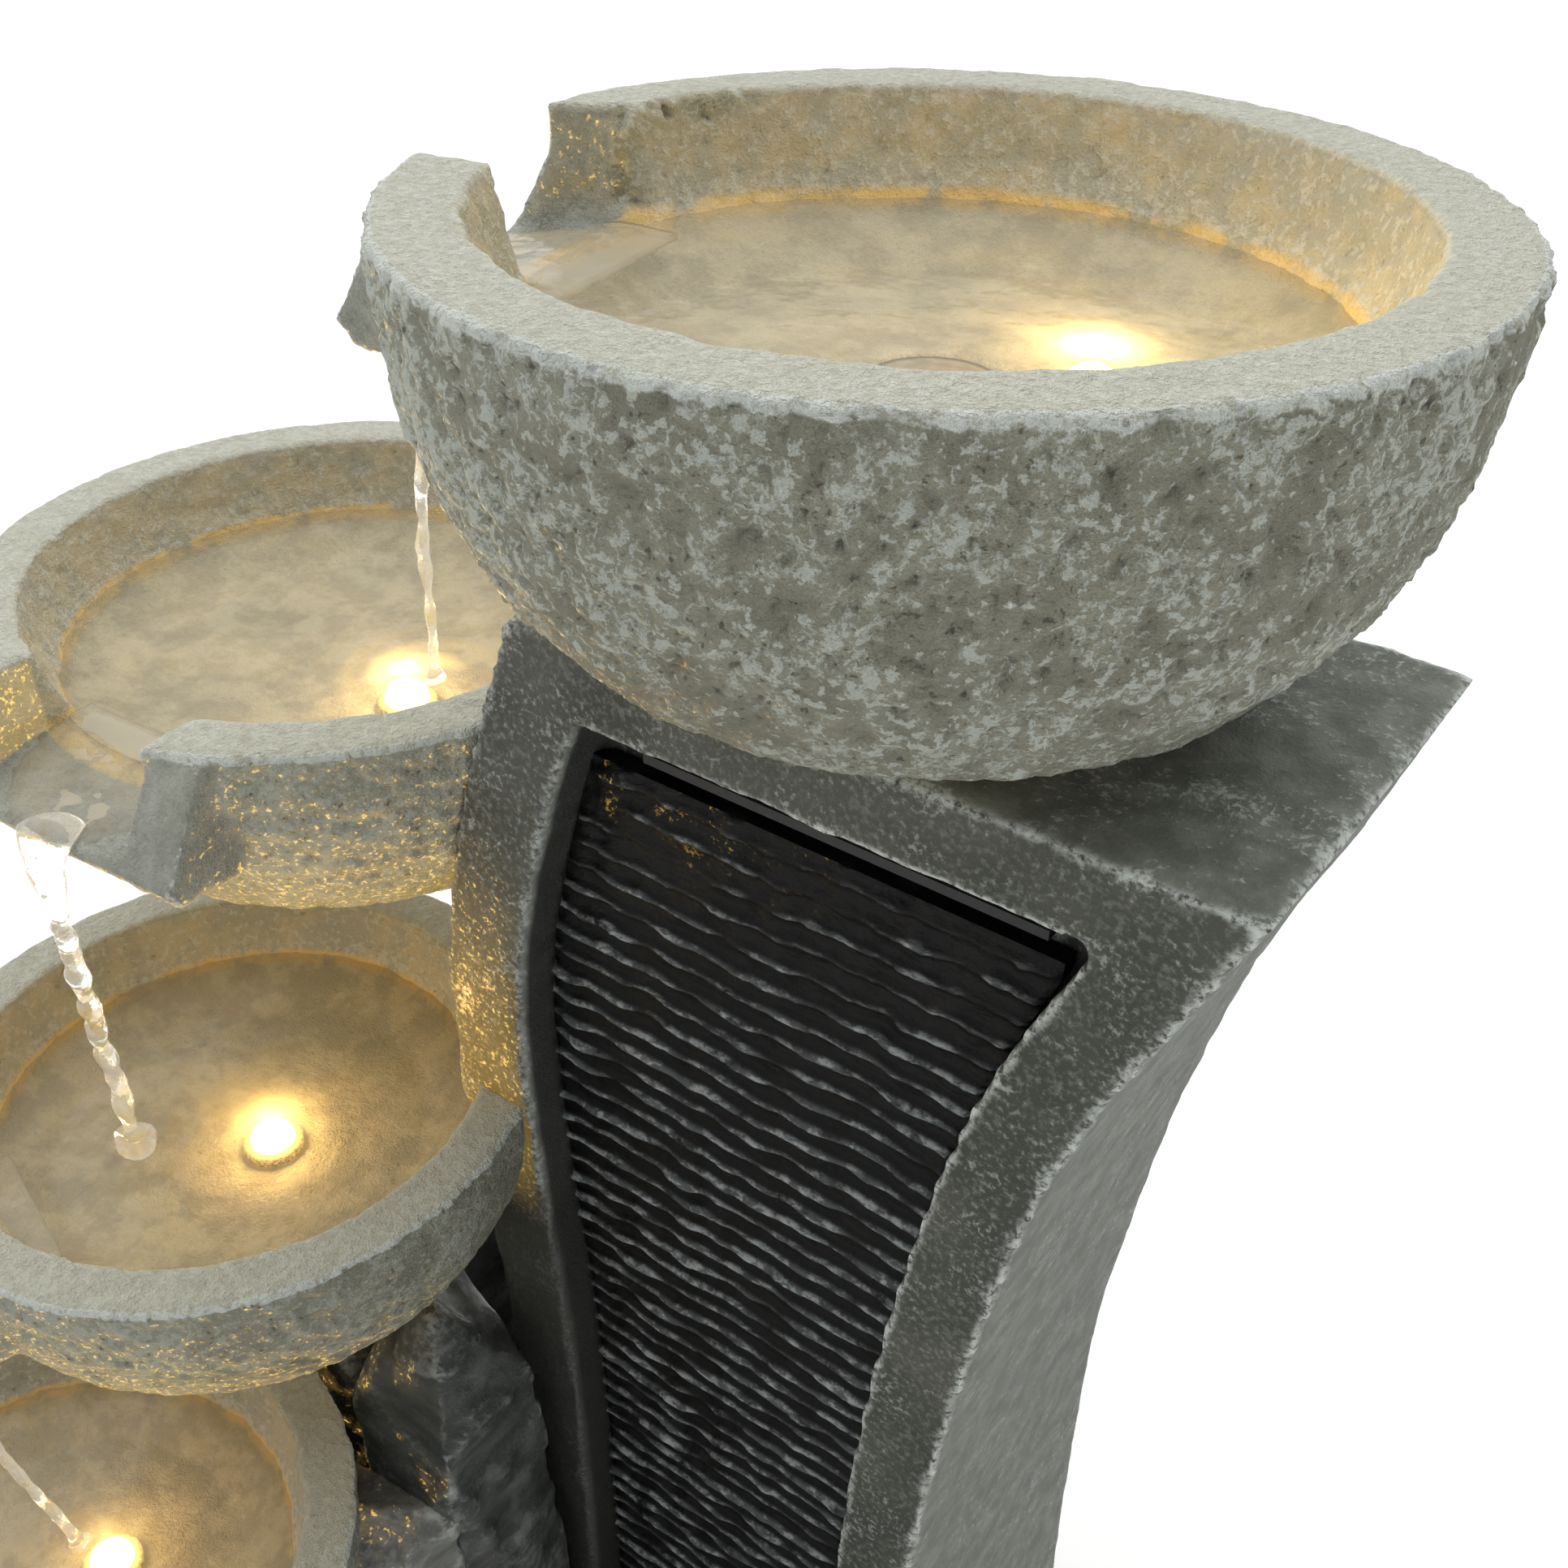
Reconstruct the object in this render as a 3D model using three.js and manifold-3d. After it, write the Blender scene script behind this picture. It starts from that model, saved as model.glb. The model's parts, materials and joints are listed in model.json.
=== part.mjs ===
// A four-bowl tabletop water fountain: cast bowls stepping down the left and front of a waisted
// column, a ribbed cascade panel in the column's face, and a pond basin that holds the water.
// Millimetres, +Z up, front of the column towards -Y. Design is drawn from the top bowl's rim
// centre; the last lines move the base centre to the origin.

import * as THREE from "three";
import { ConvexGeometry } from "three/addons/geometries/ConvexGeometry.js";
import { mergeVertices } from "three/addons/utils/BufferGeometryUtils.js";
import Module from "manifold-3d";

// ---------------------------------------------------------------- driving dimensions
const R = 75; // outer radius of the top bowl's rim
const HEIGHT = 6 * R; // table to the top bowl's rim
const GAP = 0.3; // clearance between pieces that touch
const BASE_CENTRE = [-0.88 * R, -R]; // middle of the pond basin, from the top bowl's axis
const BASE_HALF = 1.9 * R; // half the width of the pond basin
const BASE_POWER = 4.5; // squareness of the basin's outline
const FRAME_CENTRE = [-0.88 * R, -0.95 * R]; // middle of the whole fountain's plan
const FOOT_RISE = 4; // the rubber feet hold the basin this far off the table
const BASIN_HEIGHT = 0.85 * R;
const BASIN_FLOOR = 8;
const COLUMN_DEPTH = 0.92 * R;
const COLUMN_TAIL = 0.08 * R; // the column runs this much further back than forward
const COLUMN_TOP = -0.882 * R;
const COLUMN_FOOT = -HEIGHT + FOOT_RISE + BASIN_FLOOR + GAP;
const COLUMN_WALL = 7;
const TOP_PLATE = 8;
const POST_LEFT = 0.25 * R; // width of the frame beside the cascade panel
const POST_RIGHT = 0.215 * R;
const PANEL_SETBACK = 0.11 * R; // rib crests lie this far behind the column's face
const PANEL_THICK = 4.2;
const WEB_THICK = 4; // wall behind the cascade panel
const PANEL_TOP = -1.075 * R;
const PANEL_BOTTOM = -5.6 * R;
const RIB_PITCH = 0.09 * R;
const RIB_DEPTH = 1.6;
const BOWL_FLOOR = 0.34; // depth of a bowl's floor below its rim, as a share of its radius
const RIM_WIDTH = 0.163;
const SPOUT_WING = 0.17; // thickness of a spout's side wall
const HOSE_R = 6.5;
const HOSE_BORE = 4.6;
const STEM_R = 4.2; // the tube fittings that enter a hose
const LED_R = 4.5;
const LEAD_R = 1.2;

// rim centre and radius; then, as shares of the radius, the body's height, its base radius, half
// the spout's clear width and the lamp's place; spout is the spout's direction in degrees
const BOWLS = {
  top: {
    at: [0, 0, 0], r: R, tall: 0.88, base: 0.44, mouth: 0.21, lamp: [0.3, 0.04], spout: -170,
  },
  second: {
    at: [-1.761 * R, -0.053 * R, -1.239 * R], r: 0.95 * R, tall: 0.75, base: 0.5, mouth: 0.28,
    lamp: [0.31, -0.07], spout: -85,
  },
  third: {
    at: [-1.562 * R, -0.811 * R, -2.354 * R], r: 0.83 * R, tall: 0.78, base: 0.5, mouth: 0.25,
    lamp: [0.13, 0.02], spout: -106,
  },
  fourth: {
    at: [-1.47 * R, -1.73 * R, -3.35 * R], r: 0.83 * R, tall: 0.7, base: 0.52, mouth: 0.25,
    lamp: [0.03, 0.2], spout: -28,
  },
};

// ---------------------------------------------------------------- solids
const wasm = await Module();
wasm.setup();

function solid(geometry) {
  const bare = new THREE.BufferGeometry();
  bare.setAttribute("position", geometry.getAttribute("position").clone());
  if (geometry.index) bare.setIndex(geometry.index.clone());
  const merged = mergeVertices(bare, 1e-4);
  const faces = [];
  const index = merged.index.array;
  for (let i = 0; i < index.length; i += 3) {
    const [a, b, c] = [index[i], index[i + 1], index[i + 2]];
    if (a !== b && b !== c && a !== c) faces.push(a, b, c);
  }
  return new wasm.Manifold(
    new wasm.Mesh({
      numProp: 3,
      vertProperties: new Float32Array(merged.getAttribute("position").array),
      triVerts: new Uint32Array(faces),
    }),
  );
}

function geometryOf(manifold) {
  const mesh = manifold.getMesh();
  const geometry = new THREE.BufferGeometry();
  geometry.setAttribute("position", new THREE.BufferAttribute(mesh.vertProperties, 3));
  geometry.setIndex(new THREE.BufferAttribute(mesh.triVerts, 1));
  const flat = geometry.toNonIndexed();
  flat.computeVertexNormals();
  return flat;
}

const fountain = new THREE.Group();

function addPart(name, shape, finish) {
  const geometry = shape.isBufferGeometry ? shape : geometryOf(shape);
  const mesh = new THREE.Mesh(geometry, finish);
  mesh.name = name;
  fountain.add(mesh);
}

function finish(color, roughness, metalness = 0) {
  return new THREE.MeshStandardMaterial({ color, roughness, metalness });
}

const castStone = finish(0x9b978a, 0.9);
const darkStone = finish(0x6d7069, 0.85);
const wetSlate = finish(0x1f2422, 0.25);
const rockStone = finish(0x4c504e, 0.8);
const blackPlastic = finish(0x17181a, 0.45);
const greyPlastic = finish(0x55585a, 0.5);
const clearHose = finish(0xc9cfd0, 0.3);
const rubber = finish(0x202020, 0.85);
const lensGlass = finish(0xffe6a8, 0.15);
const steel = finish(0xb5b8ba, 0.35, 1);
const magnetGrey = finish(0x5b5d60, 0.5, 0.6);
const ceramic = finish(0xe6e3da, 0.3);

// ---------------------------------------------------------------- shapes used by many pieces
// A box from its lowest to its highest corner.
function block(low, high) {
  const size = low.map((value, axis) => high[axis] - value);
  const middle = low.map((value, axis) => (high[axis] + value) / 2);
  return solid(new THREE.BoxGeometry(...size).translate(...middle));
}

// A cylinder between two heights on one of the axes "x", "y" or "z".
function rod(axis, centre, radius, from, to, sides = 14, radiusEnd = radius) {
  const geometry = new THREE.CylinderGeometry(radiusEnd, radius, to - from, sides);
  if (axis === "x") geometry.rotateZ(-Math.PI / 2);
  if (axis === "z") geometry.rotateX(Math.PI / 2);
  const place = { x: [(from + to) / 2, ...centre], y: [centre[0], (from + to) / 2, centre[1]] };
  place.z = [...centre, (from + to) / 2];
  return solid(geometry.translate(...place[axis]));
}

// A flat outline [[a, b], ...] drawn in XZ and given a depth along Y.
function prism(points, from, to) {
  const shape = new THREE.Shape(points.map(([x, z]) => new THREE.Vector2(x, z)));
  const geometry = new THREE.ExtrudeGeometry(shape, { depth: to - from, bevelEnabled: false });
  return solid(geometry.rotateX(Math.PI / 2).translate(0, to, 0));
}

// A round section swept along a smooth path; a bore makes it a hose.
function tube(points, radius, { sides = 8, steps = 24, bore = 0 } = {}) {
  const ring = (r) =>
    Array.from({ length: sides }, (_, i) => {
      const angle = (2 * Math.PI * i) / sides;
      return new THREE.Vector2(r * Math.cos(angle), r * Math.sin(angle));
    });
  const section = new THREE.Shape(ring(radius));
  if (bore) section.holes.push(new THREE.Path(ring(bore)));
  const path = new THREE.CatmullRomCurve3(points.map((p) => new THREE.Vector3(...p)));
  return solid(
    new THREE.ExtrudeGeometry(section, { steps, extrudePath: path, bevelEnabled: false }),
  );
}

function lathe(profile, segments) {
  const points = profile.map(([r, z]) => new THREE.Vector2(r, z));
  return new THREE.LatheGeometry(points, segments).rotateX(Math.PI / 2);
}

// ---------------------------------------------------------------- column outline
const RIGHT_EDGE = [
  [0.962, -0.882], [0.873, -1.098], [0.746, -1.39], [0.61, -1.85], [0.482, -2.677],
  [0.43, -3.35], [0.435, -4.3], [0.46, -5.2], [0.5, -5.85],
];
const LEFT_EDGE = [
  [-0.713, -0.882], [-0.913, -1.417], [-1.04, -1.98], [-1.03, -2.6], [-0.975, -3.3],
  [-0.96, -4.3], [-0.98, -5.2], [-1.03, -5.85],
];
const EDGE_STEPS = 18;

// Points down one side of the column, moved sideways by an inset, between two heights.
function edgePoints(edge, inset, top, bottom) {
  const curve = new THREE.SplineCurve(edge.map(([x, z]) => new THREE.Vector2(x * R, z * R)));
  const samples = curve.getPoints(EDGE_STEPS * 4);
  const xAt = (z) => {
    const i = Math.max(1, samples.findIndex((p) => p.y <= z));
    const [a, b] = [samples[i - 1], samples[i]];
    return a.x + ((b.x - a.x) * (z - a.y)) / (b.y - a.y);
  };
  return Array.from({ length: EDGE_STEPS + 1 }, (_, i) => {
    const z = top + ((bottom - top) * i) / EDGE_STEPS;
    const within = Math.min(Math.max(z, edge.at(-1)[1] * R + 0.5), COLUMN_TOP - 0.01);
    return [xAt(within) + inset, z];
  });
}

// The column's outline with each side moved in, as one closed loop.
function columnOutline(insetLeft, insetRight, top, bottom) {
  const left = edgePoints(LEFT_EDGE, insetLeft, top, bottom);
  const right = edgePoints(RIGHT_EDGE, -insetRight, top, bottom);
  return [...left, ...right.reverse()];
}

const FRONT = -COLUMN_DEPTH / 2;
const BACK = COLUMN_DEPTH / 2 + COLUMN_TAIL;
const panelFace = FRONT + PANEL_SETBACK;
const panelBack = panelFace + PANEL_THICK;
const hollowFront = panelBack + GAP + WEB_THICK;
const hollowBack = BACK - COLUMN_WALL;

// The column's whole envelope, a little oversize, to trim pieces that butt against it.
const columnEnvelope = prism(
  columnOutline(-GAP, -GAP, COLUMN_TOP + GAP, COLUMN_FOOT - GAP), FRONT - GAP, BACK + GAP,
);

// ---------------------------------------------------------------- bowls
const BOWL_SEGMENTS = 32;
const BOWL_ARC = 6;
const NOZZLE_RECESS_R = 10.2;
const DISH_CLEAR = 5; // how far the dish's cutter stands above the rim

// The dish's wall from the rim's inner edge down to the edge of its floor.
function dishSide(r) {
  return [
    [(1 - RIM_WIDTH) * r, 0], [0.805 * r, -0.14 * r], [0.755 * r, -0.25 * r],
    [0.6 * r, 0.6 - BOWL_FLOOR * r],
  ];
}

// A cast bowl: flat rim, shallow dish, rounded outside and a relief under its floor.
function bowlProfile({ r, tall, base }, inflate = 0) {
  const outer = [];
  for (let i = 0; i <= BOWL_ARC; i += 1) {
    const t = i / BOWL_ARC;
    const radius = base + (1 - base) * Math.pow(1 - Math.pow(t, 2.3), 1 / 1.8);
    outer.unshift([radius * r + inflate, -t * tall * r - (i === BOWL_ARC ? inflate : 0)]);
  }
  if (inflate) return [[0, -tall * r - inflate], ...outer, [r + inflate, inflate], [0, inflate]];
  const floor = -BOWL_FLOOR * r;
  const underside = floor - 9;
  return [
    [0, underside], [0.36 * r, underside], [0.3 * r, -tall * r], ...outer,
    ...dishSide(r), [0, floor],
  ];
}

// The spout's side view: distance out from the bowl's axis against height, shares of the radius.
const SPOUT_SIDE = [[0.72, -0.02], [0.92, -0.02], [1.08, -0.29], [1.05, -0.34], [0.7, -0.37]];
const SPOUT_CHANNEL = [[0.5, 0.2], [1.3, 0.2], [1.3, -0.3], [1.05, -0.265], [0.8, -0.23], [0.5, -0.22]];

function spoutPiece(side, half, { at, r, spout }, extra = 0) {
  const outline = side.map(([u, w]) => [u * r, w * r]);
  const turned = prism(outline, -half * r - extra, half * r + extra);
  return turned.rotate([0, 0, spout]).translate(at);
}

const bowlEnvelopes = {};
const bowlSolids = {};
for (const [name, bowl] of Object.entries(BOWLS)) {
  const body = solid(lathe(bowlProfile(bowl), BOWL_SEGMENTS)).translate(bowl.at);
  const wings = spoutPiece(SPOUT_SIDE, bowl.mouth + SPOUT_WING, bowl);
  const dish = solid(
    lathe(
      [[0, -BOWL_FLOOR * bowl.r], ...dishSide(bowl.r).reverse(),
        [(1 - RIM_WIDTH) * bowl.r, DISH_CLEAR], [0, DISH_CLEAR]],
      BOWL_SEGMENTS,
    ),
  ).translate(bowl.at);
  const channel = spoutPiece(SPOUT_CHANNEL, bowl.mouth, bowl);
  bowlSolids[name] = body.add(wings.subtract(dish)).subtract(channel);
  bowlEnvelopes[name] = solid(lathe(bowlProfile(bowl, GAP), BOWL_SEGMENTS))
    .translate(bowl.at)
    .add(spoutPiece(SPOUT_SIDE, bowl.mouth + SPOUT_WING, bowl, GAP).translate([0, 0, -GAP]));
}

// ---------------------------------------------------------------- lamps and their leads
const LAMP_LENGTH = 16;
const LAMP_PROUD = 2.2; // the lamp's collar stands this far above the bowl's floor
const COLLAR_R = 6;
const COLLAR_THICK = 1.8;
const JUNCTION = { low: [-56, hollowFront + GAP, -215], high: [-25, -4, -185] };
const LEAD_LANDING = { top: -30, second: -52, third: -45, fourth: -37.5 }; // X on the junction box

const lampBase = {};
for (const [name, bowl] of Object.entries(BOWLS)) {
  const [x, y, z] = bowl.at;
  const floor = z - BOWL_FLOOR * bowl.r;
  const collarTop = floor + LAMP_PROUD;
  const centre = [x + bowl.lamp[0] * bowl.r, y + bowl.lamp[1] * bowl.r];
  lampBase[name] = [...centre, collarTop - LAMP_LENGTH];
  const socket = rod("z", centre, LED_R + GAP, collarTop - LAMP_LENGTH - 4, collarTop)
    .add(rod("z", centre, COLLAR_R + GAP, collarTop - COLLAR_THICK - GAP, collarTop + 8));
  bowlSolids[name] = bowlSolids[name].subtract(socket);
  const body = rod("z", centre, LED_R, collarTop - LAMP_LENGTH, collarTop)
    .add(rod("z", centre, COLLAR_R, collarTop - COLLAR_THICK, collarTop));
  const dome = [[0, 0], [1, 0], [0.92, 0.4], [0.7, 0.72], [0.38, 0.92], [0, 1]];
  const lens = solid(lathe(dome.map(([r, h]) => [r * LED_R, h * 4]), 16));
  addPart(`lamp_body_${name}`, body, blackPlastic);
  addPart(`lamp_lens_${name}`, lens.translate([...centre, collarTop + GAP]), lensGlass);
}

// Each lead leaves its lamp downwards and runs inside the column to the junction box.
const LEAD_WAYPOINTS = {
  top: [[20, 4, -54], [13, 7, -68], [8, 11, -84], [-14, 14, -124], [-31, 6, -158]],
  second: [[-104, -6, -134.4], [-86, -4, -134.4], [-66, -2, -137], [-55, -3, -152]],
  third: [[-104, -50, -215], [-90, -26, -216], [-80, -8, -217], [-62, 8, -218], [-54, 12, -200]],
  fourth: [
    [-108, -112, -296], [-112, -96, -304], [-112, -60, -308], [-98, -22, -309], [-78, -4, -308],
    [-60, 8, -300], [-48, 16, -264], [-42, 18, -225], [-38, 12, -190],
  ],
};

const leads = {};
const leadChannels = [];
for (const [name, base] of Object.entries(lampBase)) {
  const [x, y, z] = base;
  const landing = [LEAD_LANDING[name], -10.5];
  const route = [
    [x, y, z - GAP], [x, y, z - 3], ...LEAD_WAYPOINTS[name],
    [...landing, JUNCTION.high[2] + 8], [...landing, JUNCTION.high[2] + GAP],
  ];
  const steps = 3 * route.length;
  leads[name] = tube(route, LEAD_R, { sides: 5, steps });
  leadChannels.push(tube(route, LEAD_R + 0.8, { sides: 5, steps }));
  addPart(`lamp_lead_${name}`, leads[name], blackPlastic);
}
const clearOfLeads = (shape) => leadChannels.reduce((rest, cut) => rest.subtract(cut), shape);

const junctionBox = block(JUNCTION.low, JUNCTION.high);
addPart("junction_box", junctionBox, blackPlastic);

// ---------------------------------------------------------------- column shell
const PLATE_UNDERSIDE = COLUMN_TOP - TOP_PLATE;
const WEIR_SLOT = { low: [-38, panelBack - 1, -91], high: [43, hollowFront + 1, -84.5] };
const COVER = { x: [-60, 18], z: [-350, -195], thick: 3, lip: 4 };
const GLAND = [-20, -363];
const SCREW_R = 1.4;
const screwSpots = [COVER.x[0] + 6, COVER.x[1] - 6].flatMap((x) =>
  [COVER.z[0] + 6, COVER.z[1] - 6].map((z) => [x, z]),
);

const recess = prism(
  columnOutline(POST_LEFT, POST_RIGHT, PANEL_TOP, PANEL_BOTTOM), FRONT - 1, panelBack + GAP,
);
const hollow = prism(
  columnOutline(COLUMN_WALL, COLUMN_WALL, PLATE_UNDERSIDE, COLUMN_FOOT - 1),
  hollowFront, hollowBack,
);
const [coverLeft, coverRight] = COVER.x;
const [coverLow, coverHigh] = COVER.z;
const coverPocket = block(
  [coverLeft - GAP, BACK - COVER.thick - 2 * GAP, coverLow - GAP],
  [coverRight + GAP, BACK + 1, coverHigh + GAP],
);
const accessHole = block(
  [coverLeft + 3 * COVER.lip, hollowBack - 1, coverLow + 3 * COVER.lip],
  [coverRight - 3 * COVER.lip, BACK, coverHigh - 3 * COVER.lip],
);
const BOLT = { r: 2.8, head: 5, tip: -82, z: -112, ys: [-10, 9] };
let shell = prism(columnOutline(0, 0, COLUMN_TOP, COLUMN_FOOT), FRONT, BACK)
  .subtract(recess)
  .subtract(hollow)
  .subtract(block(WEIR_SLOT.low, WEIR_SLOT.high))
  .subtract(coverPocket)
  .subtract(accessHole)
  .subtract(rod("z", [0, 0], STEM_R + GAP, PLATE_UNDERSIDE - 1, COLUMN_TOP + 1))
  .subtract(rod("y", GLAND, 4.9, hollowBack - 1, BACK + 1));
for (const [x, z] of screwSpots) {
  shell = shell.subtract(rod("y", [x, z], SCREW_R + GAP, hollowBack - 1, BACK, 12));
}
for (const y of BOLT.ys) {
  shell = shell.subtract(rod("x", [y, BOLT.z], BOLT.r + GAP, -90, -55, 16));
}
const FOOT_DOORS = [ // low openings that let the pond water reach the pump
  [[-52, FRONT - 1, COLUMN_FOOT - 1], [12, hollowFront + 1, COLUMN_FOOT + 13]],
  [[-90, -9, COLUMN_FOOT - 1], [-60, 15, COLUMN_FOOT + 13]],
  [[22, -9, COLUMN_FOOT - 1], [60, 15, COLUMN_FOOT + 13]],
];
for (const [low, high] of FOOT_DOORS) shell = shell.subtract(block(low, high));
addPart("column_shell", clearOfLeads(shell), darkStone);

// ---------------------------------------------------------------- cascade panel and its weir
const PANEL_HEAD = -92.3;
function ribbedSide() {
  const points = [[panelBack, PANEL_HEAD], [panelFace + RIB_DEPTH, PANEL_HEAD]];
  for (let z = PANEL_HEAD - RIB_PITCH / 2; z > PANEL_BOTTOM + RIB_PITCH; z -= RIB_PITCH) {
    points.push([panelFace, z], [panelFace + RIB_DEPTH, z - RIB_PITCH / 2]);
  }
  points.push([panelBack, PANEL_BOTTOM + GAP]);
  return points;
}
const ribShape = new THREE.Shape(ribbedSide().map(([y, z]) => new THREE.Vector2(y, z)));
const ribBlock = new THREE.ExtrudeGeometry(ribShape, { depth: 3 * R, bevelEnabled: false });
ribBlock.rotateY(Math.PI / 2).rotateX(Math.PI / 2).translate(-1.6 * R, 0, 0);
const panelWindow = prism(
  columnOutline(POST_LEFT + GAP, POST_RIGHT + GAP, PANEL_TOP, PANEL_BOTTOM), FRONT, panelBack,
);
addPart("cascade_panel", solid(ribBlock).intersect(panelWindow), wetSlate);

const TROUGH = { x: [-36, 41], y: [hollowFront + GAP, -8.3], z: [-98, -84.8], wall: 1.5 };
const TROUGH_LIP = -88.8;
const TROUGH_INLET = [26, -12.8];
const WEIR_STEM_R = 3;
const trough = block(
  [TROUGH.x[0], TROUGH.y[0], TROUGH.z[0]], [TROUGH.x[1], TROUGH.y[1], TROUGH.z[1]],
)
  .subtract(block(
    [TROUGH.x[0] + TROUGH.wall, TROUGH.y[0] + TROUGH.wall, TROUGH.z[0] + TROUGH.wall],
    [TROUGH.x[1] - TROUGH.wall, TROUGH.y[1] - TROUGH.wall, TROUGH.z[1] + 1],
  ))
  .subtract(block(
    [TROUGH.x[0] + TROUGH.wall, TROUGH.y[0] - 1, TROUGH_LIP],
    [TROUGH.x[1] - TROUGH.wall, TROUGH.y[0] + TROUGH.wall + 1, TROUGH.z[1] + 1],
  ))
  .add(block(
    [TROUGH.x[0] + TROUGH.wall, panelFace + 1, TROUGH_LIP - 1.8],
    [TROUGH.x[1] - TROUGH.wall, TROUGH.y[0] + TROUGH.wall, TROUGH_LIP],
  ))
  .add(rod("z", TROUGH_INLET, WEIR_STEM_R, -106, TROUGH.z[0] + 1, 12))
  .subtract(rod("z", TROUGH_INLET, 2, -107, TROUGH.z[0] + 2, 12));
addPart("weir_trough", trough, blackPlastic);

// ---------------------------------------------------------------- water circuit
const NOZZLE_FLOOR = -BOWL_FLOOR * R;
const NOZZLE_BORE = 3.2;
const NOZZLE_END = -91;
const nozzle = rod("z", [0, 0], STEM_R, NOZZLE_END, NOZZLE_FLOOR - 1)
  .add(rod("z", [0, 0], 9.8, NOZZLE_FLOOR - 2.2, NOZZLE_FLOOR - 0.4, 28))
  .subtract(rod("z", [0, 0], NOZZLE_BORE, NOZZLE_END - 1, NOZZLE_FLOOR + 1));
addPart("outlet_nozzle", nozzle, greyPlastic);
bowlSolids.top = bowlSolids.top
  .subtract(rod("z", [0, 0], NOZZLE_RECESS_R, NOZZLE_FLOOR - 2.2 - GAP, NOZZLE_FLOOR + 3, 28))
  .subtract(rod("z", [0, 0], STEM_R + GAP, NOZZLE_FLOOR - 14, NOZZLE_FLOOR));
const nutTop = PLATE_UNDERSIDE - GAP;
const nozzleNut = rod("z", [0, 0], 9, nutTop - 6, nutTop, 6)
  .subtract(rod("z", [0, 0], STEM_R + GAP, nutTop - 7, nutTop + 1));
addPart("nozzle_nut", nozzleNut, greyPlastic);

const TEE = { top: -101.3, bottom: -118, branch: -110 };
const tee = rod("z", [0, 0], HOSE_R, TEE.bottom, TEE.top)
  .add(rod("z", [0, 0], STEM_R, TEE.bottom - 8, TEE.top + 6))
  .add(rod("x", [0, TEE.branch], WEIR_STEM_R, 0, 12, 12))
  .subtract(rod("z", [0, 0], 2.8, TEE.bottom - 9, TEE.top + 7))
  .subtract(rod("x", [0, TEE.branch], 2, 0, 13, 12));
addPart("hose_tee", tee, blackPlastic);

const link = tube([[0, 0, TEE.top + GAP], [0, 0, -92], [0, 0, -83]], HOSE_R, {
  steps: 2, bore: HOSE_BORE, sides: 16,
});
addPart("link_hose", link, clearHose);

const WEIR_HOSE = [
  [6.9, 0, TEE.branch], [13, 0, TEE.branch], [20, -2.5, -112.5], [25, -8.5, -114],
  [...TROUGH_INLET, -107], [...TROUGH_INLET, -99],
];
addPart("weir_hose", tube(WEIR_HOSE, 4.6, { steps: 12, bore: 3.6, sides: 8 }), clearHose);

const PUMP_LOW = COLUMN_FOOT + 4.4;
const PUMP = {
  x: [-42, 2], y: [-4.9, 24], z: [PUMP_LOW, PUMP_LOW + 46], axis: [-20, PUMP_LOW + 22],
  outlet: [-20, 1.5],
};
const BARB_TOP = PUMP.z[1] + 21;
const RISER = [
  [...PUMP.outlet, PUMP.z[1] + 5], [...PUMP.outlet, PUMP.z[1] + 24], [-19, 3, -325], [-15, 8, -250],
  [-8, 6, -180], [0, 0, -142], [0, 0, -130], [0, 0, TEE.bottom - GAP],
];
addPart("riser_hose", tube(RISER, HOSE_R, { steps: 18, bore: HOSE_BORE, sides: 8 }), clearHose);

// A spring band: a ring with two thumb tabs.
function hoseClamp(centre, low) {
  const band = lathe([
    [HOSE_R + GAP, 0], [HOSE_R + 1.4, 0], [HOSE_R + 1.4, 5], [HOSE_R + GAP, 5], [HOSE_R + GAP, 0],
  ], 20);
  let clamp = solid(band).translate([...centre, low]);
  for (const side of [-2.4, 1.2]) {
    const [x, y] = centre;
    clamp = clamp.add(block([x + side, y + 7.2, low + 0.8], [x + side + 1.2, y + 12, low + 4.2]));
  }
  return clamp;
}
addPart("hose_clamp_pump", hoseClamp(PUMP.outlet, PUMP.z[1] + 11), steel);
addPart("hose_clamp_tee", hoseClamp([0, 0], -125), steel);
addPart("hose_clamp_nozzle", hoseClamp([0, 0], -90), steel);

// ---------------------------------------------------------------- pump
const [pumpX, pumpZ] = PUMP.axis;
const CHAMBER = { r: 13, back: 6 };
const MAGNET_BORE = { r: 7, back: 20 };
const SHAFT_R = 1.2;
const pumpShell = block([PUMP.x[0], PUMP.y[0], PUMP.z[0]], [PUMP.x[1], PUMP.y[1], PUMP.z[1]])
  .add(rod("z", PUMP.outlet, STEM_R, PUMP.z[1] - 1, BARB_TOP))
  .subtract(rod("y", PUMP.axis, CHAMBER.r, PUMP.y[0] - 1, CHAMBER.back, 28))
  .subtract(rod("y", PUMP.axis, MAGNET_BORE.r, CHAMBER.back - 1, MAGNET_BORE.back))
  .subtract(rod("y", PUMP.axis, SHAFT_R + GAP, MAGNET_BORE.back - 1, MAGNET_BORE.back + 2.4, 12))
  .subtract(rod("z", PUMP.outlet, 2.8, pumpZ, BARB_TOP + 1, 16));
addPart("pump_body", pumpShell, blackPlastic);

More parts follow.
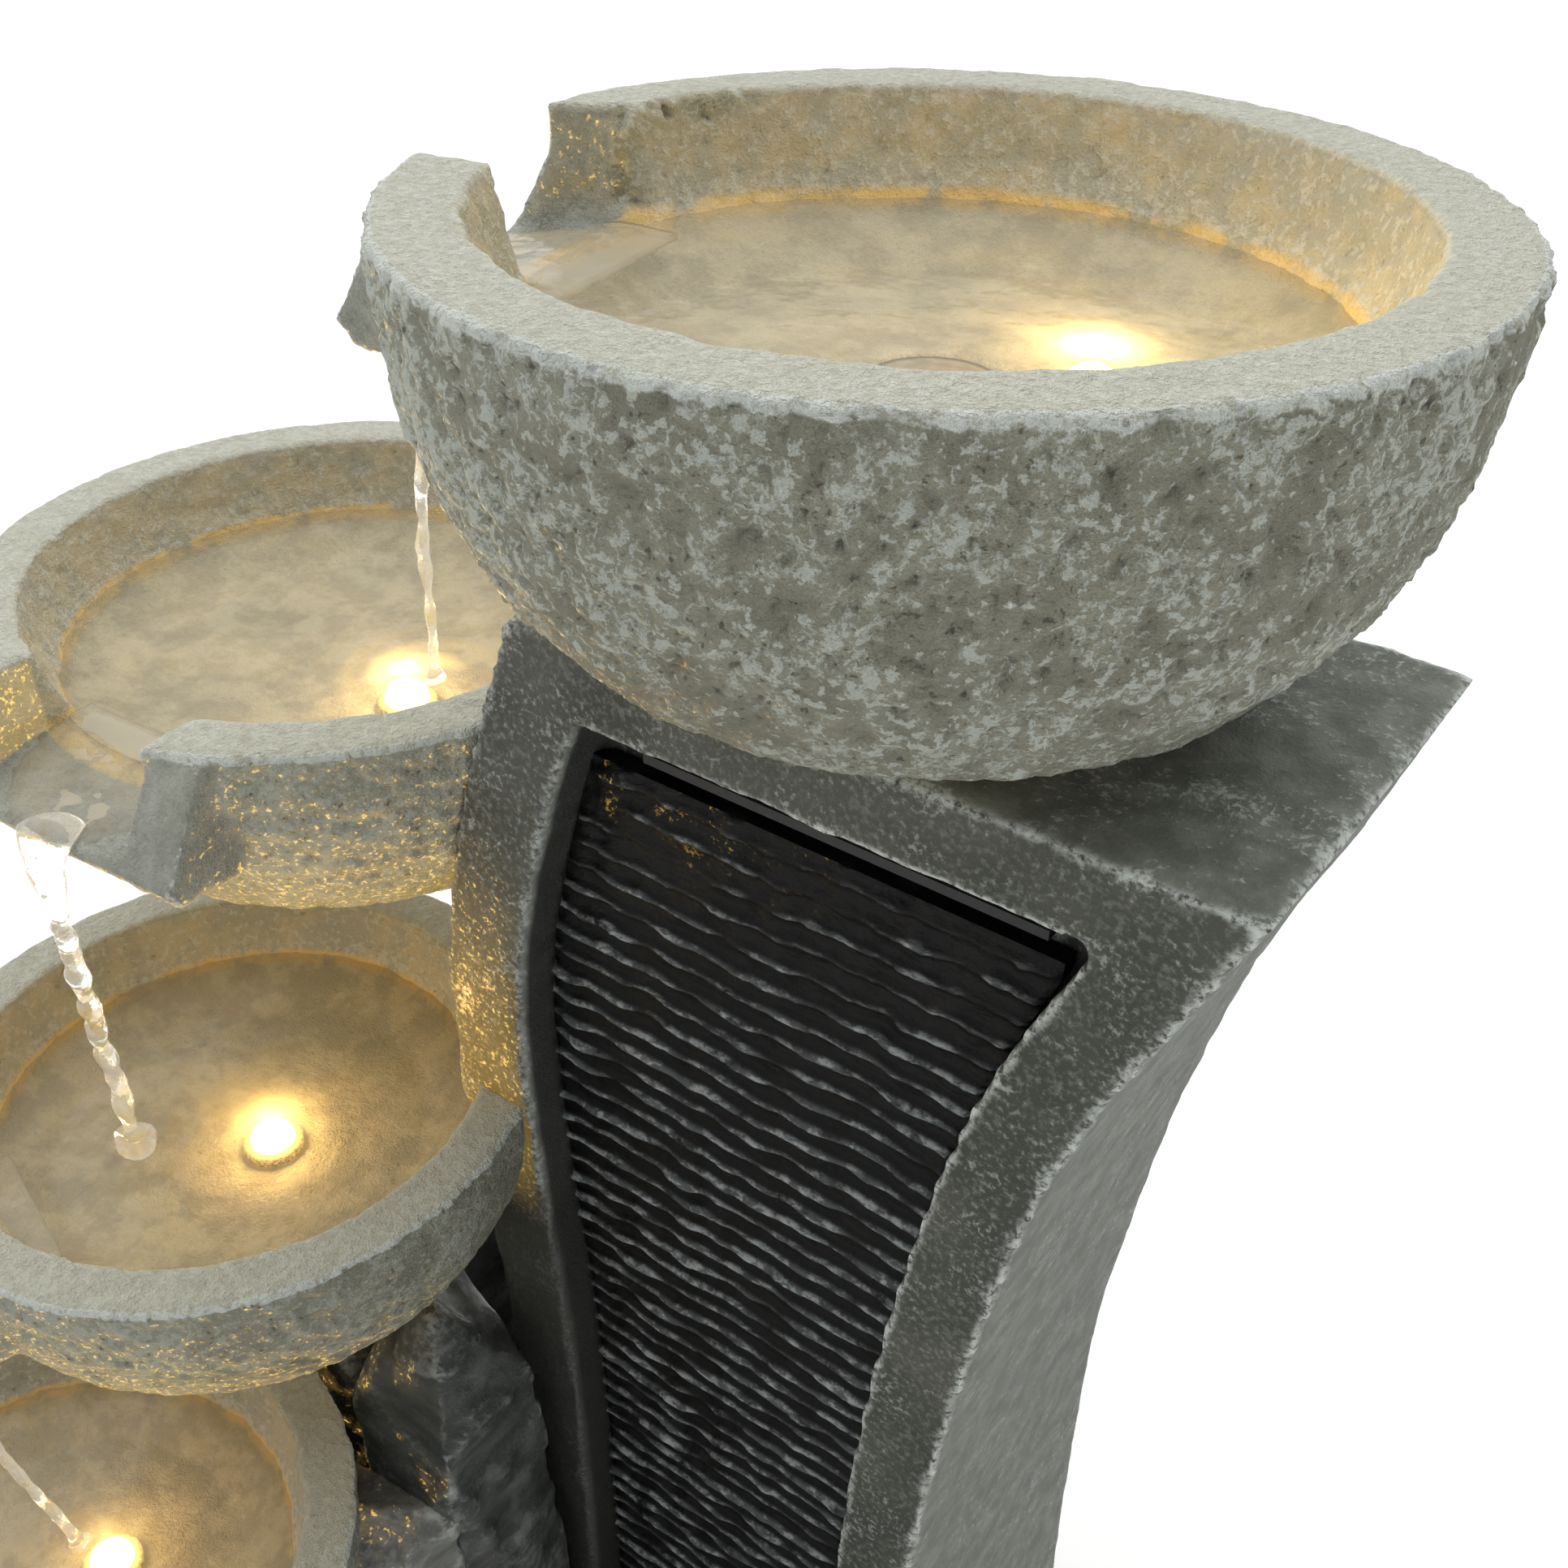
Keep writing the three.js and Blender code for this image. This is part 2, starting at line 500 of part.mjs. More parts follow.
const HUB_BORE = 1.7;
let impeller = rod("y", PUMP.axis, 4, -3, CHAMBER.back + 0.2)
  .add(rod("y", PUMP.axis, 11, 2.6, 4.2, 24));
for (let i = 0; i < 6; i += 1) {
  const vane = block([3, -3, -0.8], [11, 3, 0.8]).rotate([0, 60 * i, 0]);
  impeller = impeller.add(vane.translate([pumpX, 0, pumpZ]));
}
impeller = impeller.subtract(rod("y", PUMP.axis, HUB_BORE, -4, 8, 16));
addPart("pump_impeller", impeller, greyPlastic);
const magnet = rod("y", PUMP.axis, 6, CHAMBER.back + 0.5, MAGNET_BORE.back - 0.6)
  .subtract(rod("y", PUMP.axis, HUB_BORE, 5, 21, 16));
addPart("rotor_magnet", magnet, magnetGrey);
addPart("pump_shaft", rod("y", PUMP.axis, SHAFT_R, -8, MAGNET_BORE.back + 2, 12), ceramic);

const DIAL = [-6, PUMP.z[1] - 8];
const coverFront = PUMP.y[0] - GAP - 6;
let pumpCover = block(
  [PUMP.x[0], coverFront, PUMP.z[0]], [PUMP.x[1], PUMP.y[0] - GAP, PUMP.z[1]],
)
  .subtract(rod("y", PUMP.axis, SHAFT_R + GAP, -8.4, PUMP.y[0], 12))
  .subtract(rod("y", DIAL, 2.3, -9.4, PUMP.y[0], 16))
  .subtract(rod("y", DIAL, 2.3, coverFront - 1, -8, 16));
for (let i = -2; i <= 2; i += 1) {
  for (const side of [-1, 1]) {
    const x = pumpX + 4.6 * i;
    const z = pumpZ + side * 8.5;
    pumpCover = pumpCover.subtract(
      block([x - 1.25, coverFront - 1, z - 4.5], [x + 1.25, PUMP.y[0], z + 4.5]),
    );
  }
}
addPart("pump_intake_cover", pumpCover, blackPlastic);
const dial = rod("y", DIAL, 5, coverFront - 4.2, coverFront - GAP)
  .add(rod("y", DIAL, 1.9, coverFront - 1, -6.2, 16))
  .add(block([DIAL[0] - 0.8, coverFront - 4.9, DIAL[1]], [DIAL[0] + 0.8, coverFront - 4, DIAL[1] + 4.6]));
addPart("flow_dial", dial, greyPlastic);

for (const [i, x] of [PUMP.x[0] + 7, PUMP.x[1] - 7].entries()) {
  for (const [j, y] of [1, 18].entries()) {
    const cup = rod("z", [x, y], 6, COLUMN_FOOT, PUMP.z[0] - GAP, 16, 3.5);
    addPart(`suction_foot_${2 * i + j + 1}`, cup, rubber);
  }
}

// ---------------------------------------------------------------- rear cover, screws and gland
let rearCover = block(
  [coverLeft, BACK - COVER.thick - GAP, coverLow], [coverRight, BACK - GAP, coverHigh],
);
for (const [x, z] of screwSpots) {
  rearCover = rearCover.subtract(rod("y", [x, z], SCREW_R + GAP, BACK - 5, BACK, 12))
    .subtract(rod("y", [x, z], 3 + GAP, BACK - 1.6 - GAP, BACK, 12));
}
addPart("rear_cover", rearCover, darkStone);
for (const [i, [x, z]] of screwSpots.entries()) {
  const screw = rod("y", [x, z], SCREW_R, hollowBack + 0.5, BACK - 1, 12)
    .add(rod("y", [x, z], 3, BACK - 1.6, BACK - GAP, 12))
    .subtract(block([x - 2, BACK - 1, z - 0.4], [x + 2, BACK, z + 0.4]));
  addPart(`cover_screw_${i + 1}`, screw, steel);
}
const gland = rod("y", GLAND, 4.6, hollowBack - 3, BACK + 1)
  .add(rod("y", GLAND, 7, BACK + GAP, BACK + 4.5, 6))
  .add(rod("y", GLAND, 5.4, BACK + 4, BACK + 9, 14, 4.2))
  .subtract(rod("y", GLAND, 2.6, hollowBack - 4, BACK + 10, 16));
addPart("cord_gland", gland, blackPlastic);

for (const [i, y] of BOLT.ys.entries()) {
  const wallInside = edgePoints(LEFT_EDGE, COLUMN_WALL, BOLT.z, BOLT.z - 1)[0][0];
  const bolt = rod("x", [y, BOLT.z], BOLT.r, BOLT.tip, wallInside + 3, 16)
    .add(rod("x", [y, BOLT.z], BOLT.head, wallInside + 2, wallInside + 6, 6));
  addPart(`bowl_bolt_${i + 1}`, bolt, steel);
  const hole = rod("x", [y, BOLT.z], BOLT.r + GAP, BOLT.tip - 1, -60, 16);
  bowlSolids.second = bowlSolids.second.subtract(hole);
}

// ---------------------------------------------------------------- bowls, trimmed to the column
for (const name of ["second", "third"]) {
  bowlSolids[name] = bowlSolids[name].subtract(columnEnvelope);
}
for (const name of Object.keys(BOWLS)) {
  addPart(`${name}_bowl`, clearOfLeads(bowlSolids[name]), castStone);
}

// ---------------------------------------------------------------- pond basin, feet and drain
const baseX = BASE_CENTRE[0];
const baseY = BASE_CENTRE[1];
const table = -HEIGHT;
const basinRim = table + FOOT_RISE + BASIN_HEIGHT;
const basinFloor = table + FOOT_RISE + BASIN_FLOOR;

// A turned shape pushed out towards its corners until its plan is a rounded square.
function squared(geometry) {
  const spots = geometry.getAttribute("position");
  for (let i = 0; i < spots.count; i += 1) {
    const [x, y] = [spots.getX(i), spots.getY(i)];
    const reach = Math.hypot(x, y);
    if (reach > 0) {
      const [c, s] = [Math.abs(x / reach), Math.abs(y / reach)];
      const stretch = (c ** BASE_POWER + s ** BASE_POWER) ** (-1 / BASE_POWER);
      spots.setXY(i, x * stretch, y * stretch);
    }
  }
  return geometry;
}

const BASE_SHARE = 0.88; // width of the basin's underside against its rim
const basinSide = [];
for (let i = 6; i >= 0; i -= 1) {
  const t = i / 6;
  const reach = BASE_SHARE + (1 - BASE_SHARE) * (1 - t ** 2.4) ** (1 / 1.6);
  basinSide.push([reach * BASE_HALF, basinRim - t * BASIN_HEIGHT]);
}
const basinProfile = [
  [0, table + FOOT_RISE], ...basinSide, [BASE_HALF - RIM_WIDTH * R, basinRim],
  [0.9 * BASE_HALF, basinRim - 26], [0.865 * BASE_HALF, basinFloor + 6],
  [0.83 * BASE_HALF, basinFloor], [0, basinFloor],
];
const DRAIN = [baseX, basinFloor + 9];
const drainFace = baseY + 139;
let basin = solid(squared(lathe(basinProfile, 48))).translate([baseX, baseY, 0])
  .add(rod("y", DRAIN, 8, baseY + 126, drainFace))
  .subtract(rod("y", DRAIN, 4.9, baseY + 110, drainFace + 1))
  .subtract(columnEnvelope);
addPart("drain_plug", rod("y", DRAIN, 4.4, baseY + 119, drainFace + 1)
  .add(rod("y", DRAIN, 6, drainFace + GAP, drainFace + 3.3)), rubber);
const FOOT_SPREAD = 85;
for (const [i, [sx, sy]] of [[-1, -1], [1, -1], [1, 1], [-1, 1]].entries()) {
  const spot = [baseX + sx * FOOT_SPREAD, baseY + sy * FOOT_SPREAD];
  const seat = table + FOOT_RISE + 2;
  basin = basin.subtract(rod("z", spot, 9 + GAP, table, seat));
  addPart(`rubber_foot_${i + 1}`, rod("z", spot, 9, table, seat - GAP), rubber);
}
addPart("pond_basin", basin, castStone);

// ---------------------------------------------------------------- rocks that carry the bowls
// name, centre, half size (shares of R); later rocks are cut to fit against earlier ones
const ROCKS = [
  ["pillar_rock", [-0.98, -0.73, -4.2], [0.27, 0.25, 1.2]],
  ["back_rock", [-1.58, -0.5, -4.4], [0.5, 0.5, 1.47]],
  ["cradle_rock", [-1.5, -1.72, -4.85], [0.56, 0.52, 1.02]],
  ["ledge_rock", [-1.0, -1.08, -4.4], [0.24, 0.22, 0.85]],
  ["corner_rock", [-2.05, -1.05, -5.3], [0.36, 0.42, 0.6]],
  ["plinth_rock", [-0.85, -1.15, -5.45], [0.45, 0.42, 0.5]],
  ["pond_rock", [0.3, -1.45, -5.68], [0.3, 0.26, 0.26]],
];

// A repeatable spread of values between 0 and 1.
function chance(seed) {
  const wave = Math.sin(seed * 12.9898) * 43758.5453;
  return wave - Math.floor(wave);
}

// A broken lump of stone: the hull of a box's corners and faces, each pushed in at random.
function rockSolid(seed, centre, half, extra = 0) {
  const points = [];
  for (let i = 0; i < 27; i += 1) {
    const cell = [(i % 3) - 1, (Math.floor(i / 3) % 3) - 1, Math.floor(i / 9) - 1];
    const corner = cell.filter((c) => c !== 0).length;
    if (corner === 1 || corner === 3) {
      const push = corner === 3 ? 0.66 + 0.3 * chance(seed * 31 + i) : 0.92 + 0.08 * chance(seed + i);
      points.push(new THREE.Vector3(
        ...cell.map((c, k) => (centre[k] + c * half[k] * push) * R + c * extra),
      ));
    }
  }
  return solid(new ConvexGeometry(points));
}

const underFloor = block([-4 * R, -4 * R, table], [2 * R, 2 * R, basinFloor + GAP]);
const neighbours = [columnEnvelope, underFloor, ...Object.values(bowlEnvelopes)];
for (const [i, [name, centre, half]] of ROCKS.entries()) {
  const rock = neighbours.reduce((rest, cut) => rest.subtract(cut), rockSolid(i + 1, centre, half));
  addPart(name, clearOfLeads(rock), rockStone);
  neighbours.push(rockSolid(i + 1, centre, half, GAP));
}

fountain.position.set(-FRAME_CENTRE[0], -FRAME_CENTRE[1], HEIGHT);
export default fountain;
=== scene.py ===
import json
from math import cos, exp, hypot, pi, radians, sin, sqrt

import bpy
import numpy as np
from mathutils import Matrix, Vector, noise

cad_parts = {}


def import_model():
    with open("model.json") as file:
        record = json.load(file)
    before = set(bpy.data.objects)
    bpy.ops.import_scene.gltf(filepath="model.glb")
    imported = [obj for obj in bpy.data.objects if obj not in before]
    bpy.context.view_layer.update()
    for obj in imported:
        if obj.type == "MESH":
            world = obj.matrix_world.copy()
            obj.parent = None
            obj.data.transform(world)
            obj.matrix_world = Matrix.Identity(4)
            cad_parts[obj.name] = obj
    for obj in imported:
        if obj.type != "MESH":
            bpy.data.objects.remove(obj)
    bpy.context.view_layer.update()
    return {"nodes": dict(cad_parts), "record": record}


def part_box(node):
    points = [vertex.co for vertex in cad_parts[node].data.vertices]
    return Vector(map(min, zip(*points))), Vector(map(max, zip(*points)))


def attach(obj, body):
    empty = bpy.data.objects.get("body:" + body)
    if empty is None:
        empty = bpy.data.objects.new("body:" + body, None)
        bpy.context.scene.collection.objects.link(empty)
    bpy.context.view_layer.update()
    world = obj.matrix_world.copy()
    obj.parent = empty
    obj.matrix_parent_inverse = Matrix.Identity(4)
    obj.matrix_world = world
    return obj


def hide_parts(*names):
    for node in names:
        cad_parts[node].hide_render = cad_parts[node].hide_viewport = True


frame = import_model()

# The view. It looks down into the top bowl from the front and a little to its right,
# close enough that the lower bowls and the rippled panel run out of the picture.
view = bpy.data.cameras.new("view")
view.lens = 38.507
view.sensor_width = 36
view.clip_start = 0.005
viewer = bpy.data.objects.new("view", view)
bpy.context.collection.objects.link(viewer)
viewer.matrix_world = (
    Matrix.Translation((0.18045, -0.1230, 0.5112))
    @ Matrix.Rotation(radians(35.594), 4, "Z")
    @ Matrix.Rotation(radians(90 - 34.765), 4, "X")
    @ Matrix.Rotation(radians(0.874), 4, "Z")
)
bpy.context.scene.camera = viewer

# The four bowls. Each is cast in light cement with a hammered, pitted outside, a flat
# rim chipped white along its edge, a tan water-stained inside and a spout to spill from.
# spout is where it points in degrees; mouth, its half width, and flare, how much wider its
# far side is at the inner end, are shares of the radius; worked is how hard it is hammered.
bowls = {
    "top": dict(centre=(0.066, 0.07125, 0.45), radius=0.075, grain=0.00098, spout=-170,
                mouth=0.21, flare=0.11, worked=1.0),
    "second": dict(centre=(-0.066075, 0.067275, 0.357075), radius=0.07125, grain=0.0009, spout=-85,
                   mouth=0.28, flare=0.0, worked=0.55),
    "third": dict(centre=(-0.05115, 0.010425, 0.27345), radius=0.06225, grain=0.0008, spout=-106,
                  mouth=0.25, flare=0.0, worked=0.5),
    "fourth": dict(centre=(-0.04425, -0.0585, 0.19875), radius=0.06225, grain=0.0008, spout=-28,
                   mouth=0.25, flare=0.0, worked=0.5),
}


def pick(piece):
    bpy.ops.object.select_all(action="DESELECT")
    piece.select_set(True)
    bpy.context.view_layer.objects.active = piece


def points(piece, of="vertices", what="co"):
    rows = getattr(piece.data, of)
    found = np.empty(len(rows) * 3, np.float32)
    rows.foreach_get(what, found)
    return found.reshape(-1, 3)


def apply(piece, kind, **settings):
    step = piece.modifiers.new("step", kind)
    for name, value in settings.items():
        setattr(step, name, value)
    pick(piece)
    bpy.ops.object.modifier_apply(modifier=step.name)


def cast(name, node, grain, soften=4):
    """The moulded form of one casting, closed up and skinned evenly at that grain."""
    piece = bpy.data.objects.new(name, frame["nodes"][node].data.copy())
    bpy.context.collection.objects.link(piece)
    pick(piece)
    bpy.ops.object.mode_set(mode="EDIT")
    bpy.ops.mesh.select_all(action="SELECT")
    bpy.ops.mesh.remove_doubles(threshold=1e-6)
    bpy.ops.object.mode_set(mode="OBJECT")
    apply(piece, "REMESH", mode="VOXEL", voxel_size=grain, use_smooth_shade=True)
    apply(piece, "SMOOTH", factor=0.5, iterations=soften)
    return piece


def move(piece, places):
    """Puts every point of the piece at its new place."""
    piece.data.vertices.foreach_set("co", places.astype(np.float32).ravel())
    piece.data.update()


def record(piece, name, values):
    """Keeps one value per point on the piece, for its finish to read."""
    kept = piece.data.attributes.new(name, "FLOAT", "POINT")
    kept.data.foreach_set("value", values.astype(np.float32))


def face_outward(piece):
    """Turns every face of a closed piece to look out of it."""
    pick(piece)
    bpy.ops.object.mode_set(mode="EDIT")
    bpy.ops.mesh.select_all(action="SELECT")
    bpy.ops.mesh.normals_make_consistent(inside=False)
    bpy.ops.object.mode_set(mode="OBJECT")


def hold(piece, name, shares):
    """A vertex group that says how strongly each point takes the next tool."""
    group = piece.vertex_groups.new(name=name)
    for share in np.unique(shares):
        group.add(np.flatnonzero(shares == share).tolist(), float(share), "REPLACE")
    return name


def hammer(piece, depth, size, stops=(), group="", detail=2):
    """Works an uneven texture into the surface: blows of that depth and size in metres."""
    texture = bpy.data.textures.new("hammer", "CLOUDS")
    texture.noise_scale = size
    texture.noise_depth = detail
    if stops:
        texture.use_color_ramp = True
        ramp = texture.color_ramp.elements
        while len(ramp) < len(stops):
            ramp.new(0.5)
        for element, (at, level) in zip(ramp, stops):
            element.position = at
            element.color = (level, level, level, 1)
    apply(piece, "DISPLACE", texture=texture, texture_coords="LOCAL", strength=depth,
          mid_level=0.5, vertex_group=group)
    bpy.data.textures.remove(texture)


def keep_relief(piece, before, facing):
    """Stores how far each point now stands proud of the mould, in millimetres."""
    proud = ((points(piece) - before) * facing).sum(1) * 1000
    record(piece, "relief", proud)


class Strand:
    """One value in a finish, joined to others with ordinary sums."""

    def __init__(self, finish, socket):
        self.finish, self.socket = finish, socket

    def sum(self, operation, *values):
        return self.finish.node("Math", {"operation": operation}, dict(enumerate(values)))

    def __add__(self, other):
        return self.sum("ADD", self, other)

    def __sub__(self, other):
        return self.sum("SUBTRACT", self, other)

    def __rsub__(self, other):
        return self.sum("SUBTRACT", other, self)

    def __mul__(self, other):
        return self.sum("MULTIPLY", self, other)

    def __pow__(self, other):
        return self.sum("POWER", self, other)

    __radd__, __rmul__ = __add__, __mul__


class Finish:
    """A procedural finish, laid down on the piece's own coordinates."""

    def __init__(self, name, **constants):
        self.material = bpy.data.materials.new(name)
        self.material.use_nodes = True
        self.tree = self.material.node_tree
        self.shader = self.tree.nodes["Principled BSDF"]
        self.place = self.node("TexCoord", out="Object")
        for name, value in constants.items():
            self.set(name.replace("_", " "), value)

    def node(self, kind, settings=(), values=(), out=0):
        node = self.tree.nodes.new("ShaderNode" + kind)
        for name, value in dict(settings).items():
            setattr(node, name, value)
        for name, value in dict(values).items():
            self.feed(node.inputs[name], value)
        return Strand(self, node.outputs[out])

    def feed(self, socket, value):
        if isinstance(value, Strand):
            self.tree.links.new(value.socket, socket)
        elif socket.type == "RGBA" and len(value) == 3:
            socket.default_value = (*value, 1)
        else:
            socket.default_value = value

    def set(self, name, value):
        self.feed(self.shader.inputs[name], value)

    def noise(self, scale, detail=3.0, rough=0.55, place=None):
        return self.node("TexNoise", {}, {
            "Vector": place or self.place, "Scale": scale, "Detail": detail, "Roughness": rough})

    def rise(self, value, low, high):
        """0 below low and 1 above high, with a soft shoulder; the other way if low > high."""
        return self.node("MapRange", {"interpolation_type": "SMOOTHSTEP"}, {
            "Value": value, "From Min": low, "From Max": high})

    def tint(self, amount, under, over):
        """over laid on under, as thickly as amount says."""
        return self.node("Mix", {"data_type": "RGBA"}, {0: amount, 6: under, 7: over}, out=2)

    def bump(self, height, strength, depth):
        bump = self.node("Bump", {}, {"Height": height, "Strength": strength, "Distance": depth})
        self.set("Normal", bump)


def painted_lamp_glow(finish, lamp, speck, where, reach=0.12, glow=0.14):
    """Painted lamp light: a gold emission for the glow that a lamp below throws on wet stone, with
    sharp painted glints in it.
    """
    if not lamp:
        return
    away = finish.node("VectorMath", {"operation": "DISTANCE"}, {0: finish.place, 1: lamp},
                       out="Value")
    towards = finish.node("VectorMath", {"operation": "SUBTRACT"}, {0: lamp, 1: finish.place})
    towards = finish.node("VectorMath", {"operation": "NORMALIZE"}, {0: towards})
    facing = finish.node("VectorMath", {"operation": "DOT_PRODUCT"},
                         {0: finish.node("NewGeometry", out="Normal"), 1: towards}, out="Value")
    drops = finish.noise(900, 2, 0.6)
    near = finish.rise(away, reach, reach * 0.4) * finish.rise(facing, -0.4, 0.35)
    painted_glints = finish.rise(drops + near * 0.08, 0.6, 0.68) * finish.rise(speck, 0.45, 0.6)
    painted_gold_glow = (near * near * glow + finish.rise(near, 0.04, 0.5) * painted_glints * 0.85) * where
    finish.set("Emission Strength", 1.0)
    finish.set("Emission Color", finish.tint(painted_gold_glow, (0, 0, 0), (1.0, 0.62, 0.12)))


def cement(name, centre, radius, spout, below, brushed):
    """Light cast cement: chalky on its raised flakes, tan inside, bare on the rim."""
    finish = Finish(name, Specular_IOR_Level=0.35, Coat_Roughness=0.12)
    from_rim = finish.node("VectorMath", {"operation": "SUBTRACT"}, {0: finish.place, 1: centre})
    parts = finish.node("SeparateXYZ", {}, {0: from_rim}).socket.node.outputs
    x, y, z = (Strand(finish, part) for part in parts)
    out = ((x * x + y * y) ** 0.5) * (1 / radius)
    depth = z * (-1 / radius)
    along = (x * cos(spout) + y * sin(spout)) * (1 / radius)
    inside = finish.rise(out, 0.862, 0.842) * finish.rise(depth, 0.46, 0.43)
    rim = finish.rise(depth, 0.022, 0.006)
    under_water = inside * finish.rise(depth, 0.2, 0.225)
    tide = inside * finish.rise(depth, 0.16, 0.2)
    cheek = finish.node("Attribute", {"attribute_name": "spout"}, out="Fac")
    proud = finish.node("Attribute", {"attribute_name": "relief"}, out="Fac")
    sharp = finish.node("NewGeometry", out="Pointiness")
    blotch = finish.noise(34, 3)
    patch = finish.noise(120, 4, 0.6)
    mark = finish.noise(620, 4, 0.6)
    trail = finish.noise(360, 3, 0.55) - 0.5
    trail = finish.node("Math", {"operation": "ABSOLUTE"}, {0: trail})
    speck = finish.noise(1100, 3, 0.7)
    grain = finish.noise(2200, 2, 0.7)
    edge = finish.rise(sharp, 0.52, 0.57)
    hollow = finish.rise(sharp, 0.485, 0.43)
    thick = finish.rise(blotch, 0.42, 0.62) * 0.05 + finish.rise(along, 0.1, 0.9) * 0.05
    flake = finish.rise(mark + patch * 0.2 + proud * 0.12 + thick, 0.68, 0.74)
    worm = finish.rise(trail, 0.05, 0.012) * finish.rise(patch + thick * 2, 0.46, 0.6)
    worm = worm * finish.rise(speck, 0.38, 0.55)
    flake = flake.sum("MAXIMUM", flake, worm) * brushed
    ground = finish.tint(finish.rise(patch, 0.35, 0.65), (0.23, 0.227, 0.172), (0.31, 0.31, 0.24))
    # The outside is lighter towards the spout: partly more dry-brushed white there, partly painted
    # light on the top bowl's left side, where the light falls.
    ground = finish.tint(finish.rise(along, 0.0, 0.9) * 0.45, ground, (0.42, 0.43, 0.35))
    ground = finish.tint(finish.rise(speck, 0.5, 0.7) * 0.3, ground, (0.36, 0.375, 0.31))
    outside = finish.tint(flake * 0.8, ground, (0.54, 0.58, 0.52))
    outside = finish.tint(finish.rise(mark, 0.37, 0.31) * 0.75, outside, (0.07, 0.066, 0.05))
    outside = finish.tint(finish.rise(grain + blotch * 0.2, 0.36, 0.3) * 0.5, outside,
                          (0.09, 0.085, 0.065))
    outside = finish.tint(cheek * 0.7, outside, finish.tint(finish.rise(patch, 0.35, 0.65),
                          (0.33, 0.34, 0.29), (0.47, 0.48, 0.42)))
    rim_colour = finish.tint(finish.rise(mark, 0.3, 0.7), (0.5, 0.5, 0.41), (0.61, 0.62, 0.53))
    rim_colour = finish.tint(finish.rise(patch, 0.5, 0.7) * 0.3, rim_colour, (0.48, 0.45, 0.35))
    tan = finish.tint(finish.rise(patch, 0.4, 0.6), (0.46, 0.455, 0.37), (0.57, 0.52, 0.38))
    tan = finish.tint(finish.rise(blotch, 0.5, 0.62) * 0.7, tan, (0.42, 0.44, 0.4))
    tan = finish.tint(finish.rise(mark + tide * 0.08, 0.53, 0.62) * 0.6, tan, (0.66, 0.67, 0.6))
    stained = finish.tint(finish.rise(patch, 0.4, 0.62), (0.47, 0.42, 0.27), (0.68, 0.61, 0.4))
    # A narrow gold band on the stone at the pool's edge: painted glow of the lamp light at the
    # waterline.
    painted_waterline_glow = inside * finish.rise(depth, 0.19, 0.212) * finish.rise(depth, 0.25, 0.228)
    colour = finish.tint(rim, outside, rim_colour)
    colour = finish.tint(inside * (1 - rim), colour, tan)
    colour = finish.tint(under_water, colour, stained)
    colour = finish.tint(painted_waterline_glow * finish.rise(patch, 0.35, 0.55) * 0.8, colour,
                         (0.85, 0.6, 0.2))
    lip = finish.rise(out, 0.972, 0.992) * finish.rise(depth, 0.036, 0.012)
    chips = finish.rise(edge + lip * 0.8 + speck * 0.5, 0.62, 0.95) * finish.rise(mark, 0.36, 0.5)
    colour = finish.tint(chips * (1 - under_water) * 0.9, colour, (0.66, 0.7, 0.65))
    colour = finish.tint(hollow * (0.8 - under_water * 0.5) * (1 - cheek * 0.7), colour,
                         (0.055, 0.05, 0.038))
    colour = finish.tint(finish.rise(grain, 0.6, 0.74) * 0.3, colour, (0.08, 0.08, 0.065))
    finish.set("Base Color", colour)
    finish.set("Roughness", 0.8 - under_water * 0.3 - flake * 0.1)
    wet = finish.rise(depth, 0.42, 0.7) * finish.rise(speck, 0.42, 0.56)
    finish.set("Coat Weight", wet * 0.7 + tide * 0.5)
    # Painted gold glow and glints from the lamp in the bowl below, on this bowl's outside and
    # underside.
    painted_lamp_glow(finish, below, speck, 1 - inside - rim, reach=0.23, glow=0.2)
    finish.bump(mark * 1.0 + speck * 0.5 + grain * 0.3, 0.9, 0.0015)
    return finish.material


